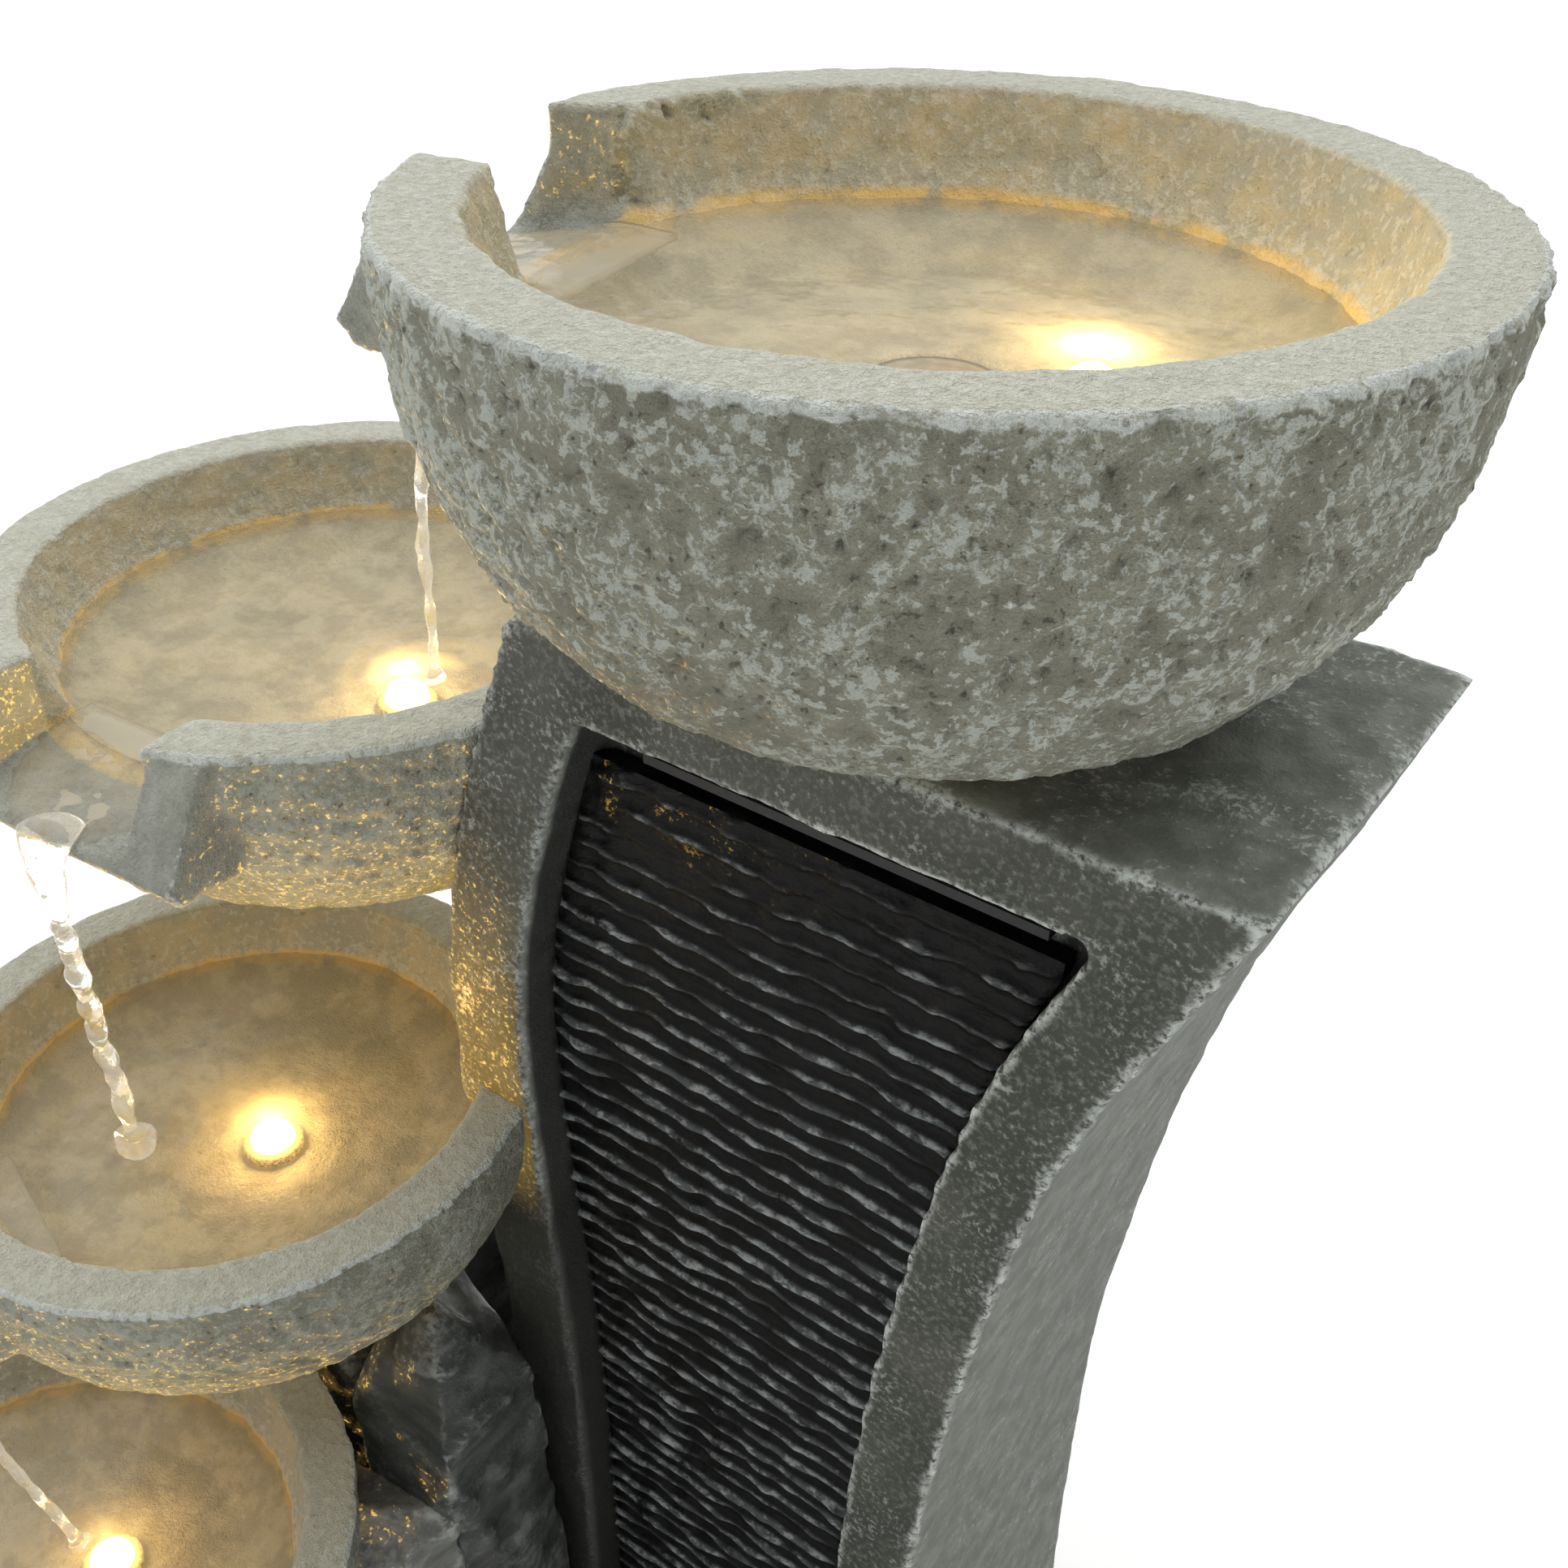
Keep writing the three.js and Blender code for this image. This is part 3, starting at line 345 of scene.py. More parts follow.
next_down = {"top": "second", "second": "third", "third": "fourth"}
lit_from = {name: tuple(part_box("lamp_lens_" + lower)[1]) for name, lower in next_down.items()}
lit_from["fourth"] = None
for name, bowl in bowls.items():
    node = name + "_bowl"
    piece = cast("cement_" + node, node, bowl["grain"])
    turn = radians(bowl["spout"])
    # The spout's far side is spread towards the pool, its outer end staying where it is.
    ahead = np.array((cos(turn), sin(turn)))
    beside = np.array((sin(turn), -cos(turn)))
    before = points(piece)
    from_rim = (before - np.array(bowl["centre"])) / bowl["radius"]
    u, v = from_rim[:, :2] @ ahead, from_rim[:, :2] @ beside
    flare = np.interp(u, (0.7, 0.99), (bowl["flare"], 0)) * (u > 0.5)
    flare *= np.interp(v, (0.05, bowl["mouth"], 0.62), (0, 1, 0))
    flare *= np.interp(from_rim[:, 2], (-0.26, -0.2), (0, 1)) * bowl["radius"]
    before[:, :2] += flare[:, None] * beside
    move(piece, before)
    if bowl["flare"]:
        apply(piece, "SMOOTH", factor=0.5, iterations=3)
        before = points(piece)
    facing = points(piece, "vertex_normals", "vector")
    from_rim = (before - np.array(bowl["centre"])) / bowl["radius"]
    out = np.hypot(from_rim[:, 0], from_rim[:, 1])
    depth = -from_rim[:, 2]
    # Full blows outside; the bottom, the spout, the inside and the rim are worked softer.
    inside = (out < 0.85) & (depth < 0.42)
    shares = np.ones(len(before))
    shares[depth > 0.62] = 0.7
    along = from_rim[:, :2] @ ahead
    aside = np.abs(from_rim[:, :2] @ beside)
    spout = (along > 0.84) & (aside < bowl["mouth"] + 0.19) & (depth < 0.5) | (
        (along > 0.5) & (aside < bowl["mouth"] + 0.03) & (depth > 0.01) & (depth < 0.3))
    shares *= bowl["worked"]
    shares[spout] = 0.3
    shares[inside] = 0.5
    shares[inside & (depth > 0.25)] = 0.15
    shares[(depth < 0.012) & (facing[:, 2] > 0.5)] = 0.25
    group = hold(piece, "worked", shares)
    hammer(piece, 0.0016, 0.016, group=group)
    hammer(piece, 0.001, 0.0034, stops=((0.34, 0), (0.45, 0.6), (0.54, 0.64), (0.66, 1)),
           group=group, detail=3)
    hammer(piece, 0.0006, 0.0016, group=group, detail=1)
    keep_relief(piece, before, facing)
    record(piece, "spout", spout)
    piece.data.materials.clear()
    piece.data.materials.append(cement("cement of " + node, bowl["centre"], bowl["radius"], turn,
                                       lit_from[name], bowl["worked"]))
    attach(piece, "fountain")
    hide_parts(node)

# The column. One hollow casting in a darker, finely speckled cement; its flared shoulders
# and the plate that carries the top bowl are dry-brushed white along their edges.


def column_cement(name, carved=True):
    """Dark speckled cement; a plain unworked sheet of it, not carved, has no worn edges."""
    finish = Finish(name, Specular_IOR_Level=0.4, Coat_Roughness=0.15)
    parts = finish.node("SeparateXYZ", {}, {0: finish.place}).socket.node.outputs
    x, y, z = (Strand(finish, part) for part in parts)
    proud = finish.node("Attribute", {"attribute_name": "relief"}, out="Fac")
    sharp = finish.node("NewGeometry", out="Pointiness") if carved else 0.5
    facing = finish.node("SeparateXYZ", {}, {0: finish.node("NewGeometry", out="Normal")})
    rightward, _, skyward = (
        Strand(finish, part) for part in facing.socket.node.outputs)
    painted_lit_right_faces = finish.rise(rightward, 0.55, 0.9)
    painted_lit_top_faces = finish.rise(skyward, 0.6, 0.9)
    blotch = finish.noise(36, 4)
    patch = finish.noise(170, 4, 0.6)
    speck = finish.noise(820, 4, 0.7)
    grain = finish.noise(2000, 2, 0.7)
    edge = finish.rise(sharp, 0.515, 0.56)
    hollow = finish.rise(sharp, 0.485, 0.44)
    ground = finish.tint(finish.rise(blotch, 0.35, 0.65), (0.05, 0.056, 0.045), (0.085, 0.09, 0.073))
    ground = finish.tint(finish.rise(speck, 0.46, 0.64) * 0.6, ground, (0.19, 0.2, 0.175))
    # Faces turned to the right and faces turned up are painted lighter: painted light where the
    # light falls on them.
    ground = finish.tint(painted_lit_right_faces, ground, finish.tint(finish.rise(patch, 0.3, 0.7),
                         (0.13, 0.14, 0.118), (0.2, 0.21, 0.185)))
    ground = finish.tint(painted_lit_top_faces, ground, finish.tint(finish.rise(patch, 0.35, 0.65),
                         (0.135, 0.148, 0.122), (0.22, 0.235, 0.205)))
    brushed = finish.rise(proud * 0.35 + speck * 1.2 + patch * 0.3, 0.83, 1.0) * (
        0.4 + painted_lit_top_faces * 0.3)
    colour = finish.tint(brushed, ground, (0.5, 0.54, 0.5))
    worn = edge * finish.rise(speck, 0.36, 0.56) * (0.4 + finish.rise(x, 0.05, 0.075) * 0.45)
    colour = finish.tint(worn, colour, (0.68, 0.72, 0.68))
    colour = finish.tint(hollow * 0.7, colour, (0.035, 0.038, 0.03))
    colour = finish.tint(finish.rise(grain, 0.6, 0.75) * 0.35, colour, (0.045, 0.048, 0.04))
    finish.set("Roughness", 0.72 - brushed * 0.1)
    # The two cheeks of the panel's recess, and the left post below the third bowl, are painted
    # near black: painted shade.
    jambs = (finish.rise(rightward, 0.5, 0.8) * finish.rise(x, 0.06, 0.05)
             + finish.rise(rightward, -0.5, -0.8) * finish.rise(x, 0.05, 0.06))
    painted_recess_shade = finish.rise(y, 0.038, 0.0395) * finish.rise(y, 0.055, 0.05) * jambs
    colour = finish.tint(painted_recess_shade * 0.85, colour, (0.012, 0.013, 0.012))
    shade = finish.rise(z, 0.262, 0.235) * finish.rise(x, 0.045, 0.03)
    colour = finish.tint(shade * 0.8, colour, (0.02, 0.022, 0.018))
    finish.set("Base Color", colour)
    lamp_side = finish.rise(x, 0.012, 0.0) * finish.rise(y, 0.085, 0.05)
    finish.set("Coat Weight", lamp_side * finish.rise(speck, 0.4, 0.6) * 0.8)
    above_pool = finish.rise(z, 0.238, 0.262)
    # Painted gold glow and glints from the third bowl's lamp on the left post above the third pool.
    painted_lamp_glow(finish, lit_from["second"], speck, lamp_side * above_pool, reach=0.11, glow=0.2)
    finish.bump(speck * 0.8 + grain * 0.4 + patch * 0.5, 0.6, 0.0009)
    return finish.material


column = cast("cement_column", "column_shell", 0.00168, soften=2)
# Below the plate the right side spreads towards the back.
side_spread = 0.0045
before = points(column)
backward = np.interp(before[:, 1], (0.036, 0.1), (0, 1))
backward *= np.interp(before[:, 0], (0.09, 0.1), (0, 1))
below_plate = np.interp(before[:, 2], (0.02, 0.06, 0.28, 0.33, 0.355, 0.378, 0.395),
                        (0, 0.5, 0.55, 0.9, 0.85, 0.3, 0))
before[:, 0] += side_spread * backward * below_plate
move(column, before)
facing = points(column, "vertex_normals", "vector")
group = hold(column, "worked", np.where(facing[:, 0] > 0.6, 0.5, 1.0))
hammer(column, 0.0012, 0.014, group=group)
hammer(column, 0.0008, 0.0045, group=group, detail=3)
keep_relief(column, before, facing)
column.data.materials.clear()
column.data.materials.append(column_cement("cement of the column"))
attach(column, "fountain")
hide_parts("column_shell")

# The rippled panel. A sheet of near-black slate-coloured cement set in the column's front;
# water from the slot above runs down over its fine wavering ribs, whose crests carry painted
# highlights.


def wet_slate(name):
    finish = Finish(name, Specular_IOR_Level=0.22, Coat_Roughness=0.1)
    sharp = finish.node("NewGeometry", out="Pointiness")
    crest = finish.node("Attribute", {"attribute_name": "crest"}, out="Fac")
    patch = finish.noise(110, 4, 0.65)
    speck = finish.noise(480, 3, 0.75)
    streak = finish.node("VectorMath", {"operation": "MULTIPLY"},
                         {0: finish.place, 1: (260, 260, 700)})
    streak = finish.noise(1.0, 4, 0.7, place=streak)
    # The rib crests are painted pale, brightest along the streaks: painted highlight of the light on
    # the wet ribs.
    pale = finish.rise(crest, 0.34, 0.8) * finish.rise(patch + speck * 0.5, 0.5, 0.8)
    colour = finish.tint(pale, (0.0018, 0.0022, 0.0018), (0.085, 0.095, 0.095))
    colour = finish.tint(pale * finish.rise(streak, 0.46, 0.6), colour, (0.3, 0.325, 0.325))
    colour = finish.tint(finish.rise(sharp, 0.49, 0.45) * 0.8, colour, (0.001, 0.0012, 0.001))
    finish.set("Base Color", colour)
    finish.set("Roughness", 0.5 - pale * 0.1)
    finish.set("Coat Weight", finish.rise(crest, 0.45, 0.9) * finish.rise(streak, 0.45, 0.6) * 0.8)
    # A few painted gold glints from the third bowl's lamp at the panel's upper left.
    upper_left = finish.rise(finish.node("VectorMath", {"operation": "DISTANCE"}, {
        0: finish.place, 1: (0.036, 0.035, 0.385)}, out="Value"), 0.055, 0.015)
    painted_lamp_glow(finish, lit_from["second"], speck, finish.rise(patch, 0.5, 0.6) * upper_left,
           reach=0.2, glow=0.0)
    finish.bump(speck * 0.6 + streak * 0.7 + patch, 0.6, 0.0009)
    return finish.material


rib_pitch = 0.00545
rib_height = 0.0021
slate_low, slate_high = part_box("cascade_panel")
outline = points(frame["nodes"]["cascade_panel"])
face = outline[outline[:, 1] < slate_low.y + 0.0005]
columns_of_points, rows_of_points = 84, 560
bpy.ops.object.select_all(action="DESELECT")
bpy.ops.mesh.primitive_grid_add(x_subdivisions=columns_of_points, y_subdivisions=rows_of_points,
                                size=2, location=(0, 0, 0))
slate = bpy.context.active_object
slate.name = "rippled_slate"
slate_top = slate_high.z - 0.0004
slate_foot = slate_low.z + 0.0004
levels = np.unique(np.round(face[:, 2], 5))
left_edge = np.array([face[np.abs(face[:, 2] - z) < 2e-5][:, 0].min() for z in levels])
right_edge = np.array([face[np.abs(face[:, 2] - z) < 2e-5][:, 0].max() for z in levels])
wide = right_edge - left_edge > 0.02
levels, left_edge, right_edge = levels[wide], left_edge[wide], right_edge[wide]
plan = points(slate)
height = slate_foot + (plan[:, 1] + 1) / 2 * (slate_top - slate_foot)
left = np.interp(height, levels, left_edge) + 0.0003
right = np.interp(height, levels, right_edge) - 0.0003
across = left + (plan[:, 0] + 1) / 2 * (right - left)
crests = np.empty(len(plan), np.float32)
proud = np.empty(len(plan), np.float32)
for i, (x, z) in enumerate(zip(across.tolist(), height.tolist())):
    sway = noise.noise((x * 45, 0, z * 20)) * 0.22 + noise.noise((x * 170, 5, z * 45)) * 0.17
    ridge = (0.5 + 0.5 * cos(2 * pi * (z / rib_pitch + sway))) ** 3
    strength = 0.8 + 0.6 * noise.noise((x * 110, 9, z * 130))
    rough = noise.fractal((x * 230, 3, z * 260), 1.0, 2.1, 3)
    top_fade = min(max((slate_top - 0.006 - z) / 0.04, 0.0), 1.0)
    ribs = ridge * max(strength, 0.15) * (0.45 + 0.55 * top_fade)
    proud[i] = rib_height * ribs + rough * (0.00022 + 0.0007 * (1 - top_fade))
    crests[i] = ribs + max(rough, 0) * (0.12 + 0.4 * (1 - top_fade))
border = (np.abs(plan[:, 0]) > 0.999) | (np.abs(plan[:, 1]) > 0.999)
proud[border] = 0
placed = np.stack([across, slate_low.y + 0.0004 - np.clip(proud, -0.001, 0.003), height], 1)
move(slate, placed)
record(slate, "crest", crests)
pick(slate)
bpy.ops.object.mode_set(mode="EDIT")
bpy.ops.mesh.select_all(action="SELECT")
bpy.ops.mesh.extrude_region_move(
    TRANSFORM_OT_translate={"value": (0, slate_high.y - slate_low.y - 0.0008, 0)})
bpy.ops.object.mode_set(mode="OBJECT")
face_outward(slate)
bpy.ops.object.shade_smooth_by_angle(angle=radians(60))
slate.data.materials.append(wet_slate("wet slate of the panel"))
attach(slate, "fountain")
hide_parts("cascade_panel")

# The rocks. Split slate lumps, cast and stained dark, stand behind and below the lower
# bowls to carry them; their flat cleft faces are broken along the edges.


def cleft_rock(name, dark, pale, worn):
    finish = Finish(name, Specular_IOR_Level=0.5, Coat_Roughness=0.14)
    proud = finish.node("Attribute", {"attribute_name": "relief"}, out="Fac")
    sharp = finish.node("NewGeometry", out="Pointiness")
    layer = finish.node("VectorMath", {"operation": "MULTIPLY"},
                        {0: finish.place, 1: (45, 45, 190)})
    layer = finish.noise(1.0, 5, 0.62, place=layer)
    patch = finish.noise(90, 4, 0.6)
    speck = finish.noise(420, 4, 0.7)
    colour = finish.tint(finish.rise(layer, 0.35, 0.65), dark, pale)
    colour = finish.tint(finish.rise(patch, 0.52, 0.72) * 0.25, colour, worn)
    colour = finish.tint(finish.rise(proud * 0.25 + speck, 0.62, 0.85) * 0.35, colour, worn)
    colour = finish.tint(finish.rise(sharp, 0.515, 0.56) * finish.rise(speck, 0.38, 0.55) * 0.8,
                         colour, worn)
    colour = finish.tint(finish.rise(sharp, 0.485, 0.44) * 0.7, colour, (0.012, 0.013, 0.011))
    finish.set("Base Color", colour)
    finish.set("Roughness", 0.5 + layer * 0.25)
    finish.set("Coat Weight", finish.rise(patch, 0.4, 0.6) * 0.5)
    # Painted gold glow and glints from the fourth bowl's lamp on the rocks.
    painted_lamp_glow(finish, lit_from["third"], speck, finish.rise(patch, 0.52, 0.64), reach=0.09, glow=0.1)
    finish.bump(layer * 1.1 + speck * 0.5 + patch * 0.6, 0.7, 0.0014)
    return finish.material


dark_rock = cleft_rock("dark cleft rock", (0.035, 0.04, 0.036), (0.085, 0.092, 0.085),
                       (0.3, 0.33, 0.32))
pale_rock = cleft_rock("pale cleft rock", (0.12, 0.125, 0.115), (0.22, 0.23, 0.21),
                       (0.45, 0.48, 0.45))
rocks = {
    "pillar_rock": (0.0013, dark_rock), "back_rock": (0.0016, dark_rock),
    "cradle_rock": (0.0015, dark_rock), "ledge_rock": (0.0012, pale_rock),
    "corner_rock": (0.0014, dark_rock), "plinth_rock": (0.0014, dark_rock),
    "pond_rock": (0.0012, pale_rock),
}
for node, (grain, colour) in rocks.items():
    rock = cast("cleft_" + node, node, grain, soften=1)
    before = points(rock)
    facing = points(rock, "vertex_normals", "vector")
    hammer(rock, 0.0014, 0.02, detail=1)
    hammer(rock, 0.0013, 0.013, stops=((0.3, 0), (0.49, 0.2), (0.52, 0.8), (0.7, 1)), detail=0)
    hammer(rock, 0.0005, 0.004, detail=3)
    keep_relief(rock, before, facing)
    rock.data.materials.clear()
    rock.data.materials.append(colour)
    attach(rock, "fountain")
    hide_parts(node)

# The pond basin. The wide cast base that catches all the water and hides the pump;
# the same light cement as the bowls, with a hammered outside and a flat rim.
basin_low, basin_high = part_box("pond_basin")
basin_middle = ((basin_low.x + basin_high.x) / 2, (basin_low.y + basin_high.y) / 2)
basin_squareness = 4.5  # the power of its rounded square outline; 2 would be a circle


def basin_cement(name):
    finish = Finish(name, Specular_IOR_Level=0.35, Coat_Roughness=0.12)
    parts = finish.node("SeparateXYZ", {}, {0: finish.place}).socket.node.outputs
    z = Strand(finish, parts[2])
    proud = finish.node("Attribute", {"attribute_name": "relief"}, out="Fac")
    sharp = finish.node("NewGeometry", out="Pointiness")
    wetted = finish.node("Attribute", {"attribute_name": "inside"}, out="Fac")
    blotch = finish.noise(30, 4)
    patch = finish.noise(130, 4, 0.62)
    speck = finish.noise(480, 3, 0.7)
    mark = finish.noise(560, 4, 0.6)
    flake = finish.rise(mark + patch * 0.2 + proud * 0.12, 0.64, 0.72)
    ground = finish.tint(finish.rise(blotch, 0.35, 0.65), (0.205, 0.2, 0.155), (0.27, 0.275, 0.225))
    colour = finish.tint(flake * 0.8, ground, (0.54, 0.57, 0.52))
    rim = finish.rise(z, basin_high.z - 0.003, basin_high.z - 0.001)
    colour = finish.tint(rim, colour, (0.44, 0.45, 0.38))
    silt = finish.tint(finish.rise(patch, 0.4, 0.62), (0.15, 0.135, 0.1), (0.27, 0.24, 0.18))
    colour = finish.tint(wetted * (1 - rim), colour, silt)
    edge = finish.rise(sharp, 0.515, 0.56) * finish.rise(speck, 0.34, 0.52)
    colour = finish.tint(edge * (1 - wetted) * 0.9, colour, (0.7, 0.73, 0.68))
    colour = finish.tint(finish.rise(sharp, 0.485, 0.44) * 0.65, colour, (0.06, 0.06, 0.045))
    finish.set("Base Color", colour)
    finish.set("Roughness", 0.8 - wetted * 0.3)
    finish.bump(speck * 0.7 + patch * 0.9, 0.55, 0.0012)
    return finish.material


basin = cast("cement_basin", "pond_basin", 0.00173, soften=3)
before = points(basin)
facing = points(basin, "vertex_normals", "vector")
reach = (np.abs(before[:, 0] - basin_middle[0]) ** basin_squareness
         + np.abs(before[:, 1] - basin_middle[1]) ** basin_squareness) ** (1 / basin_squareness)
within = (reach < 0.1365) & (before[:, 2] > 0.0112) & ((facing[:, 2] > 0.3) | (reach > 0.11))
outward = ((before[:, :2] - np.array(basin_middle)) * facing[:, :2]).sum(1) > 0.02
within &= ~outward
shares = np.where(within, 0.4, 1.0)
shares[before[:, 2] > basin_high.z - 0.0012] = 0.35
shares[before[:, 2] < basin_low.z + 0.004] = 0.2
group = hold(basin, "worked", shares)
hammer(basin, 0.0018, 0.018, group=group)
hammer(basin, 0.0014, 0.0055, stops=((0.36, 0), (0.47, 0.55), (0.56, 0.6), (0.66, 1)),
       group=group, detail=3)
keep_relief(basin, before, facing)
record(basin, "inside", within)
basin.data.materials.clear()
basin.data.materials.append(basin_cement("cement of the basin"))
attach(basin, "fountain")
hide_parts("pond_basin")

# The fittings. Moulded plastic pump, tees, trough and lamp housings, clear vinyl hose,
# rubber feet and stainless clips, all inside the column or under the bowls.


def moulding(name, colour, worn, roughness=0.45, **constants):
    """Moulded plastic or rubber: a fine sparked grain with scuffs and a film of scale."""
    finish = Finish(name, **constants)
    grain = finish.noise(2600, 2, 0.6)
    scuff = finish.noise(240, 5, 0.7)
    film = finish.noise(60, 3, 0.6)
    colour = finish.tint(finish.rise(scuff, 0.55, 0.75) * 0.5, colour, worn)
    colour = finish.tint(finish.rise(film, 0.5, 0.7) * 0.25, colour, worn)
    finish.set("Base Color", colour)
    finish.set("Roughness", roughness + scuff * 0.25)
    finish.bump(grain * 0.6 + scuff * 0.3, 0.25, 0.0003)
    return finish.material


def brushed_metal(name, colour, roughness):
    finish = Finish(name, Metallic=1.0)
    along = finish.node("VectorMath", {"operation": "MULTIPLY"},
                        {0: finish.place, 1: (300, 300, 6000)})
    brush = finish.noise(1.0, 3, 0.6, place=along)
    stain = finish.noise(300, 4, 0.6)
    dull = tuple(part * 0.55 for part in colour)
    finish.set("Base Color", finish.tint(finish.rise(stain, 0.5, 0.7) * 0.6, colour, dull))
    finish.set("Roughness", roughness + brush * 0.2)
    finish.bump(brush, 0.2, 0.0002)
    return finish.material


plastics = {
    "black_plastic": moulding("black plastic", (0.018, 0.018, 0.019), (0.09, 0.09, 0.085)),
    "grey_plastic": moulding("grey plastic", (0.24, 0.235, 0.21), (0.42, 0.4, 0.34)),
    "clear_hose": moulding("clear vinyl hose", (0.72, 0.76, 0.74), (0.55, 0.58, 0.5),
                           roughness=0.18, Alpha=0.55),
    "rubber": moulding("rubber", (0.025, 0.025, 0.024), (0.1, 0.098, 0.09), roughness=0.7),
    "steel": brushed_metal("stainless steel", (0.55, 0.55, 0.54), 0.28),
    "magnet": brushed_metal("ferrite magnet", (0.09, 0.09, 0.1), 0.5),
    "ceramic": moulding("ceramic shaft", (0.8, 0.78, 0.72), (0.66, 0.64, 0.58), roughness=0.2),
}
fitted = {row["node"]: row["material_slot"] for row in frame["record"]["subparts"]}
for node, kind in fitted.items():
    if kind in plastics:
        frame["nodes"][node].data.materials[0] = plastics[kind]


def outlet_ring(name):
    """The outlet's collar: scale-stained plastic, black in its bore and round its rim."""
    finish = Finish(name, Roughness=0.4)
    low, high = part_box("outlet_nozzle")
    middle = ((low.x + high.x) / 2, (low.y + high.y) / 2, high.z)
    away = finish.node("VectorMath", {"operation": "DISTANCE"},
                       {0: finish.place, 1: middle}, out="Value")
    film = finish.noise(420, 4, 0.6)
    colour = finish.tint(finish.rise(film, 0.35, 0.65), (0.2, 0.17, 0.1), (0.34, 0.29, 0.18))
    colour = finish.tint(finish.rise(away, 0.0085, 0.0094), colour, (0.03, 0.026, 0.016))
    colour = finish.tint(finish.rise(away, 0.0048, 0.0038), colour, (0.02, 0.017, 0.01))
    finish.set("Base Color", colour)
    finish.bump(film, 0.3, 0.0004)
    return finish.material


frame["nodes"]["outlet_nozzle"].data.materials[0] = outlet_ring("wet outlet ring")
frame["nodes"]["rear_cover"].data.materials[0] = column_cement(
    "cement of the rear cover", carved=False)

# The lamps. A clear domed lens over a warm white diode in each bowl's floor, sealed into
# a black plug; the diode shows as a bright core that ambers towards the lens's rim.
# Each has its power in watts and how brightly its lens glows.
lamps = {"top": (0.065, 5.0), "second": (0.03, 14.0), "third": (0.026, 14.0),
         "fourth": (0.008, 14.0)}
for name, (power, lens_glow) in lamps.items():
    low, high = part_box("lamp_lens_" + name)
    middle = ((low.x + high.x) / 2, (low.y + high.y) / 2, low.z)
    finish = Finish("lit lens of the %s bowl" % name, Base_Color=(1.0, 0.9, 0.7), Roughness=0.15,
                    Emission_Strength=lens_glow)
    away = finish.node("VectorMath", {"operation": "DISTANCE"},
                       {0: finish.place, 1: middle}, out="Value")
    ring = finish.noise(900, 2)
    core = finish.rise(away + ring * 0.001, 0.0052, 0.003)
    finish.set("Emission Color", finish.tint(core, (1.0, 0.5, 0.12), (1.0, 0.86, 0.55)))
    frame["nodes"]["lamp_lens_" + name].data.materials[0] = finish.material
    # The black collar round each lens glows amber in rays near the lens: painted glow of the lamp's
    # light on it.
    collar = Finish("lit collar of the %s lamp" % name, Roughness=0.4, Emission_Strength=2.0)
    away = collar.node("VectorMath", {"operation": "DISTANCE"},
                       {0: collar.place, 1: middle}, out="Value")
    ray = collar.noise(1400, 2)
    lit = collar.rise(away + ray * 0.0016, 0.0074, 0.0056)
    collar.set("Base Color", collar.tint(ray, (0.02, 0.02, 0.02), (0.05, 0.05, 0.045)))
    collar.set("Emission Color", collar.tint(lit, (0, 0, 0), (1.0, 0.55, 0.12)))
    frame["nodes"]["lamp_body_" + name].data.materials[0] = collar.material
    glow = bpy.data.lights.new("glow_" + name, "POINT")
    glow.energy = power
    glow.color = (1.0, 0.71, 0.28)
    glow.shadow_soft_size = 0.003
    lamp = bpy.data.objects.new("glow_" + name, glow)
    lamp.location = (middle[0], middle[1], high.z + 0.0052)
    lamp.visible_camera = False
    lamp.visible_glossy = False
    bpy.context.collection.objects.link(lamp)

# The water. Still, faintly hazy pools stand in the bowls and the basin, ringed where the
# falls land; a ragged clear fall joins each spout to the next pool.
# rest is how far each pool's surface stands below its bowl's rim, and dish_depth how deep
# the bowl's floor lies, a share of the radius.
dish_depth = 0.352
rest = {"top": 0.0166, "second": 0.0152, "third": 0.0133, "fourth": 0.0133}
falls = {
    "top": [(-0.0105, 0.0578, 0.4322), (-0.0168, 0.0568, 0.429),
            (-0.0212, 0.0566, 0.4185), (-0.0245, 0.0572, 0.401), (-0.0315, 0.0605, 0.374),
            (-0.0385, 0.0655, 0.3405)],
    "second": [(-0.0588, -0.0055, 0.3398), (-0.0555, -0.0112, 0.3352),
               (-0.0535, -0.0126, 0.324), (-0.0555, -0.0112, 0.303), (-0.0585, -0.009, 0.282),
               (-0.0622, -0.0068, 0.2582)],
    "third": [(-0.0672, -0.0482, 0.2584), (-0.0678, -0.0542, 0.2545),
              (-0.066, -0.0566, 0.243), (-0.061, -0.0548, 0.225), (-0.0545, -0.052, 0.205),
              (-0.048, -0.0488, 0.1842)],
    "fourth": [(0.0112, -0.088, 0.1838), (0.0178, -0.0915, 0.1798),
               (0.0212, -0.0932, 0.168), (0.0238, -0.0946, 0.14), (0.0258, -0.0956, 0.1),
               (0.0275, -0.0965, 0.0545)],
}
pools = {name: (bowl["centre"], bowl["radius"] * 0.79, bowl["centre"][2] - rest[name])
         for name, bowl in bowls.items()}


def pool_water(name, haze, tone):
    finish = Finish(name, Roughness=0.09, IOR=1.33)
    drift = finish.noise(38, 4, 0.55)
    ripple = finish.noise(140, 2, 0.5)
    skim = finish.node("Fresnel", {}, {"IOR": 1.33})
    finish.set("Base Color", finish.tint(finish.rise(drift, 0.4, 0.62), tone, (0.66, 0.56, 0.36)))
    finish.set("Alpha", haze + finish.rise(drift, 0.38, 0.66) * 0.14 + skim * 0.5)
    finish.bump(drift + ripple * 0.6, 0.4, 0.0016)
    return finish.material


clear_water = pool_water("pool water", 0.14, (0.62, 0.58, 0.46))


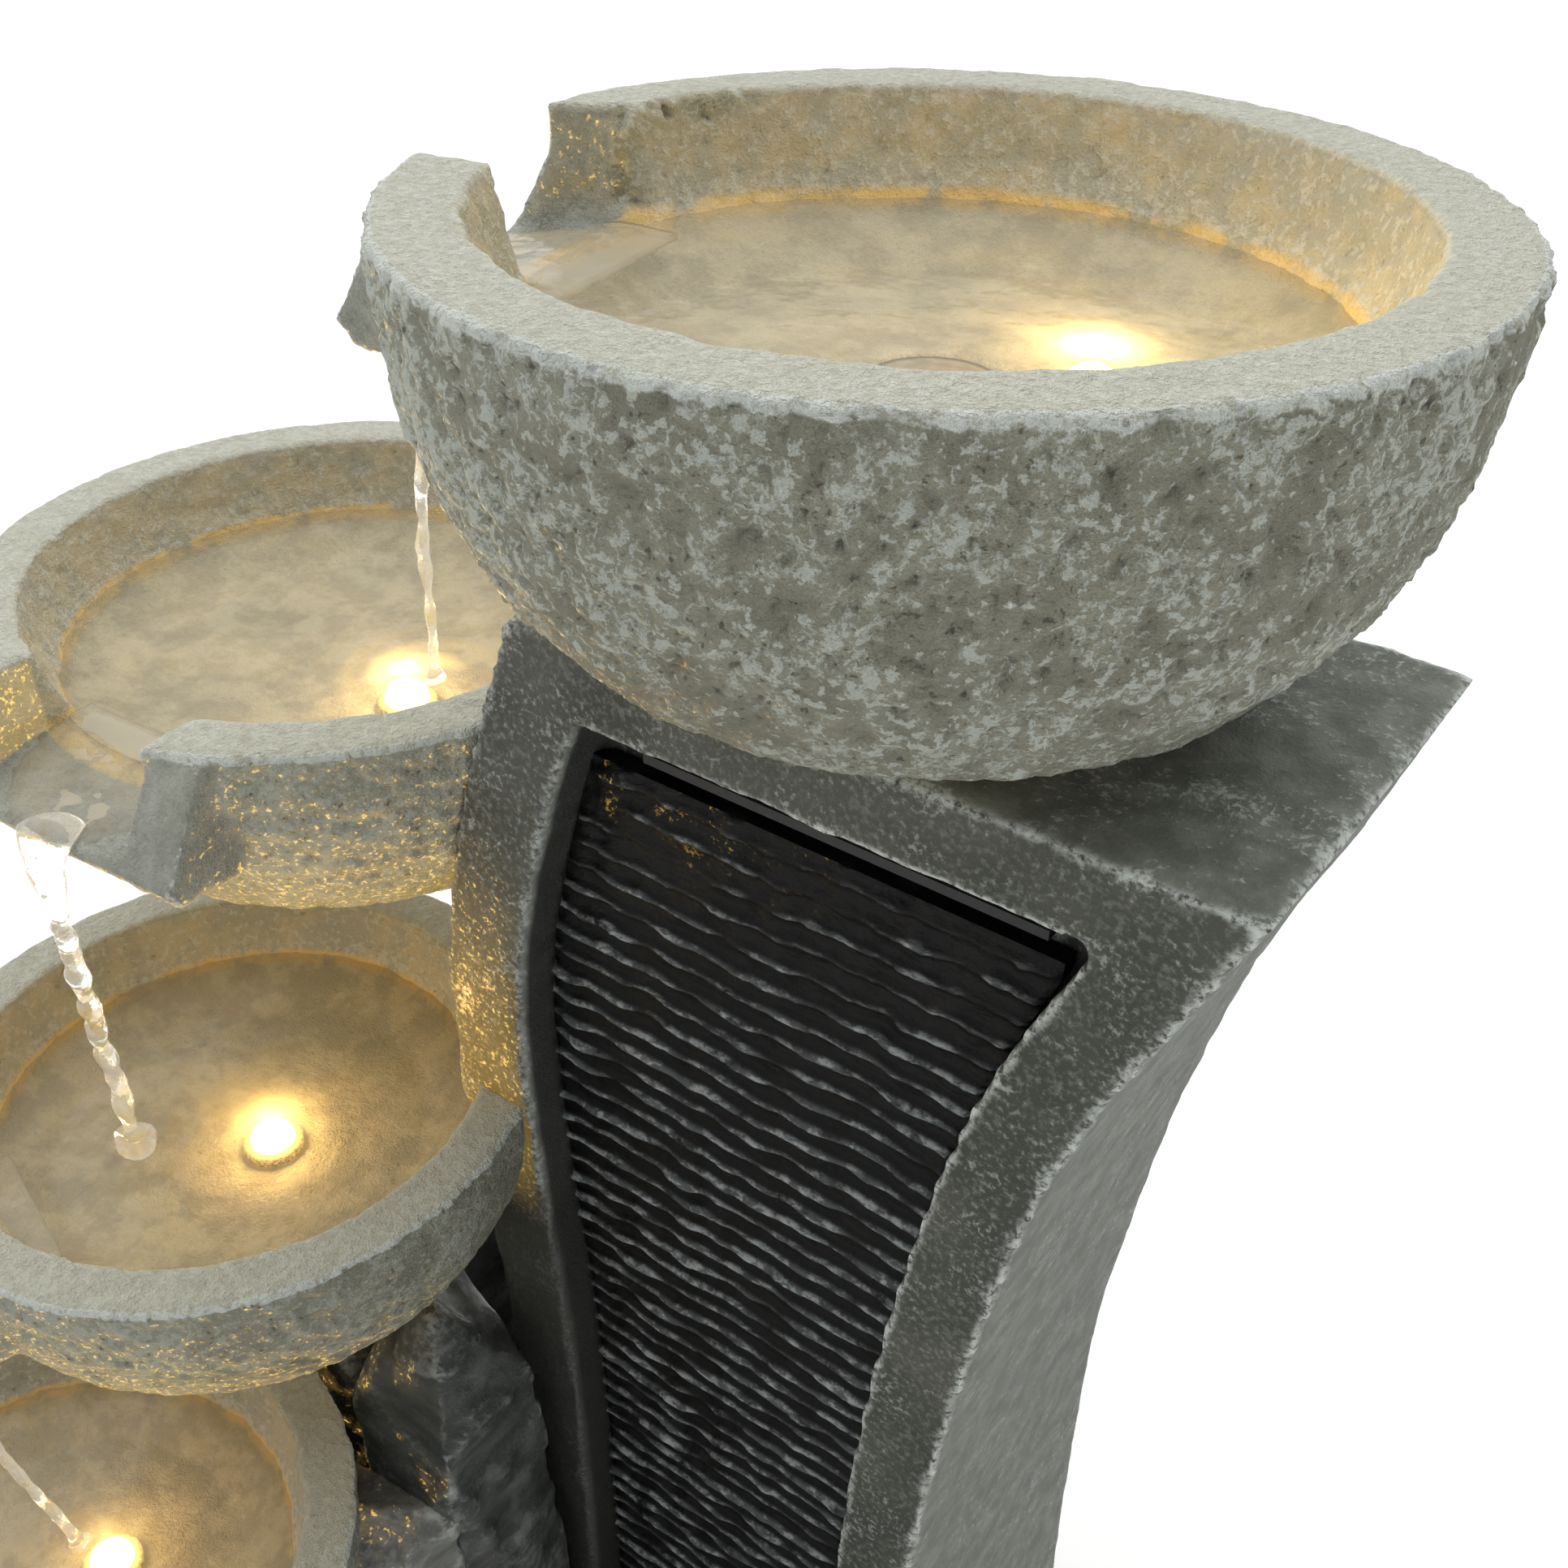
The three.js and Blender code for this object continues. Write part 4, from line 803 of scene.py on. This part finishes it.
def still_water(name, level, centre, reach, bottoms, falls_in, ring):
    """A pool shaped from a disc: rings of faces on top, its sides let down into the stone."""
    steps = int(reach / ring)
    bpy.ops.object.select_all(action="DESELECT")
    bpy.ops.mesh.primitive_circle_add(vertices=128, radius=reach, fill_type="NGON",
                                      location=(centre[0], centre[1], level))
    pool = bpy.context.active_object
    pool.name = name
    bpy.ops.object.transform_apply(location=True)
    bpy.ops.object.mode_set(mode="EDIT")
    bpy.ops.mesh.select_mode(type="FACE")
    bpy.ops.mesh.select_all(action="SELECT")
    was = 1.0
    for share, down in bottoms:
        bpy.ops.mesh.extrude_region_move(TRANSFORM_OT_translate={"value": (0, 0, -down)})
        bpy.ops.transform.resize(value=(share / was, share / was, 1),
                                 center_override=(centre[0], centre[1], level))
        was = share
    bpy.ops.mesh.select_all(action="DESELECT")
    bpy.ops.mesh.select_mode(type="VERT")
    bpy.ops.object.mode_set(mode="OBJECT")
    for vertex in pool.data.vertices:
        vertex.select = vertex.co.z > level - 1e-5
    pick(pool)
    bpy.ops.object.mode_set(mode="EDIT")
    bpy.ops.mesh.edge_face_add()
    bpy.ops.mesh.select_mode(type="FACE")
    for step in range(steps - 1):
        bpy.ops.mesh.inset(thickness=ring)
    bpy.ops.object.mode_set(mode="OBJECT")
    face_outward(pool)
    for vertex in pool.data.vertices:
        if vertex.co.z > level - 1e-5:
            for x, y, _ in falls_in:
                away = hypot(vertex.co.x - x, vertex.co.y - y)
                vertex.co.z += 0.0007 * cos(away * 2 * pi / 0.0064) * exp(-away / 0.014)
            vertex.co.z += 0.00022 * noise.noise(vertex.co * 80)
    bpy.ops.object.shade_smooth_by_angle(angle=radians(50))
    pool.data.materials.append(clear_water)
    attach(pool, "fountain")
    return pool


for name, (centre, reach, level) in pools.items():
    landings = [way[-1] for way in falls.values() if abs(way[-1][2] - level) < 0.006]
    floor_depth = dish_depth * bowls[name]["radius"] - rest[name]
    still_water("water_%s_bowl" % name, level, centre, reach,
                ((0.97, floor_depth * 0.37), (0.86, floor_depth * 0.63 + 0.0012)), landings,
                0.0021)

pond_level, pond_half_width, pond_depth = 0.0575, 0.1325, 0.0464
pond = still_water("water_pond", pond_level, basin_middle, pond_half_width, ((0.9, pond_depth),),
                   [falls["fourth"][-1]], 0.0036)
for vertex in pond.data.vertices:
    dx, dy = vertex.co.x - basin_middle[0], vertex.co.y - basin_middle[1]
    away = hypot(dx, dy)
    if away > 1e-4:
        corner = (abs(dx) ** basin_squareness + abs(dy) ** basin_squareness) ** (
            -1 / basin_squareness)
        square = (corner * away - 1) * away / pond_half_width + 1
        vertex.co.x, vertex.co.y = basin_middle[0] + dx * square, basin_middle[1] + dy * square

# The falls glow faintly, gold in patches: painted glints of the lamps' light in the water.
fall_finish = Finish("falling water", Base_Color=(1.0, 0.98, 0.93), Roughness=0.04, IOR=1.33,
                     Transmission_Weight=1.0, Emission_Strength=0.12)
painted_fall_glints = fall_finish.rise(fall_finish.noise(190, 2), 0.45, 0.65)
fall_finish.set("Emission Color", fall_finish.tint(painted_fall_glints, (1.0, 0.97, 0.9), (1.0, 0.72, 0.25)))
fall_finish.bump(fall_finish.noise(260, 3), 0.35, 0.001)
length = 90  # steps along each fall
fall_sizes = {"top": 0.0016, "second": 0.0027, "third": 0.0018, "fourth": 0.0021}
for name, way in falls.items():
    bowl = bowls[name]
    across_spout = Vector((-sin(radians(bowl["spout"])), cos(radians(bowl["spout"])), 0))
    way = [Vector(spot) for spot in way]
    spots, lengths = [], [0.0]
    for a, b in zip(way, way[1:]):
        lengths.append(lengths[-1] + (b - a).length)
    for i in range(length + 1):
        run = lengths[-1] * i / length
        k = max(j for j in range(len(way) - 1) if lengths[j] <= run)
        t = (run - lengths[k]) / (lengths[k + 1] - lengths[k])
        p0, p1, p2, p3 = way[max(k - 1, 0)], way[k], way[k + 1], way[min(k + 2, len(way) - 1)]
        spots.append(0.5 * ((2 * p1) + (p2 - p0) * t + (2 * p0 - 5 * p1 + 4 * p2 - p3) * t * t
                            + (3 * p1 - p0 - 3 * p2 + p3) * t ** 3))
    size = fall_sizes[name]
    bpy.ops.object.select_all(action="DESELECT")
    bpy.ops.mesh.primitive_circle_add(vertices=20, radius=1, fill_type="NGON")
    fall = bpy.context.active_object
    fall.name = "water_fall_" + name
    bpy.ops.object.mode_set(mode="EDIT")
    bpy.ops.mesh.select_all(action="SELECT")
    for i in range(length):
        bpy.ops.mesh.extrude_region_move()
        bpy.ops.transform.translate(value=(0, 0, -1))
    bpy.ops.object.mode_set(mode="OBJECT")
    for vertex in fall.data.vertices:
        i = min(int(round(-vertex.co.z)), length)
        share = i / length
        ahead = (spots[min(i + 1, length)] - spots[max(i - 1, 0)]).normalized()
        wide = (across_spout - ahead * across_spout.dot(ahead)).normalized()
        thick = ahead.cross(wide)
        spread = exp(-((share / 0.14) ** 2))
        lumps = noise.noise((vertex.co.x * 0.8, vertex.co.y * 0.8, i * 0.27 + len(name)))
        necks = noise.noise((0.3, len(name), i * 0.2))
        lumps, necks = lumps * (1 - spread), necks * (1 - spread)
        girth = size * (0.8 + 0.45 * necks + 0.4 * lumps) * (1 - 0.25 * share)
        half_wide = girth * (1.15 + 0.4 * necks) + spread * bowl["radius"] * 0.07
        half_thick = girth * (1 - 0.6 * spread) * (0.9 - 0.3 * necks)
        end = min(1.0, sqrt(max(i, 0.35) / 3)) * (1 + 1.4 * max(0, share - 0.95) / 0.05)
        sway = across_spout * noise.noise((i * 0.06, 4, len(name))) * 0.0016 * share
        vertex.co = (spots[i] + sway + wide * vertex.co.x * half_wide * end
                     + thick * vertex.co.y * half_thick * end)
    face_outward(fall)
    bpy.ops.object.shade_smooth()
    fall.data.materials.append(fall_finish.material)
    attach(fall, "fountain")

# A thin film slides down each spout's channel from the pool to the lip, where it gathers
# into the fall.
film_start, film_length = 0.66, 0.415
film_side = ((0.66, -0.226), (0.8, -0.224), (0.95, -0.243), (1.04, -0.257), (1.075, -0.272))
for name, bowl in bowls.items():
    turn = radians(bowl["spout"])
    ahead = Vector((cos(turn), sin(turn), 0))
    beside = Vector((-sin(turn), cos(turn), 0))
    bpy.ops.object.select_all(action="DESELECT")
    bpy.ops.mesh.primitive_grid_add(x_subdivisions=24, y_subdivisions=16, size=2)
    film = bpy.context.active_object
    film.name = "water_film_" + name
    bpy.ops.object.mode_set(mode="EDIT")
    bpy.ops.mesh.extrude_region_move(TRANSFORM_OT_translate={"value": (0, 0, -1)})
    bpy.ops.object.mode_set(mode="OBJECT")
    for vertex in film.data.vertices:
        u = film_start + (vertex.co.x + 1) / 2 * film_length
        down = float(np.interp(u, *zip(*film_side)))
        narrow = 1 - 0.5 * max(0, u - 0.9) / 0.175
        v = vertex.co.y * (bowl["mouth"] + 0.006) * narrow
        ripple = 0.0004 * noise.noise((u * 14, v * 30, bowl["mouth"] * 50))
        edge = 0.0012 * (vertex.co.y ** 4) * (u > 0.85)
        thick = 0.0005 if vertex.co.z > -0.5 else -0.0006
        vertex.co = (Vector(bowl["centre"]) + (ahead * u + beside * v) * bowl["radius"]
                     + Vector((0, 0, down * bowl["radius"] + thick + ripple - edge)))
    face_outward(film)
    bpy.ops.object.shade_smooth()
    film.data.materials.append(clear_water)
    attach(film, "fountain")

# The floor and the light. A plain pale floor, one broad soft light from above and
# slightly behind on the left, and an even white surround.
bpy.ops.object.select_all(action="DESELECT")
bpy.ops.mesh.primitive_plane_add(size=60, location=(0, 0, 0))
floor = bpy.context.active_object
floor.name = "floor"
paper = Finish("pale floor", Roughness=0.9, Specular_IOR_Level=0.1)
paper.set("Base Color", paper.tint(paper.noise(3, 2), (0.91, 0.91, 0.905), (0.93, 0.93, 0.925)))
floor.data.materials.append(paper.material)

sky = bpy.data.lights.new("overhead", "SUN")
sky.energy = 3.0
sky.angle = radians(110)
overhead = bpy.data.objects.new("overhead", sky)
overhead.rotation_euler = (radians(-18), radians(-22), 0)
bpy.context.collection.objects.link(overhead)

world = bpy.data.worlds.new("surround")
world.use_nodes = True
world.node_tree.nodes["Background"].inputs["Color"].default_value = (1, 1, 1, 1)
world.node_tree.nodes["Background"].inputs["Strength"].default_value = 0.42
bpy.context.scene.world = world
bpy.context.scene.view_settings.view_transform = "Standard"
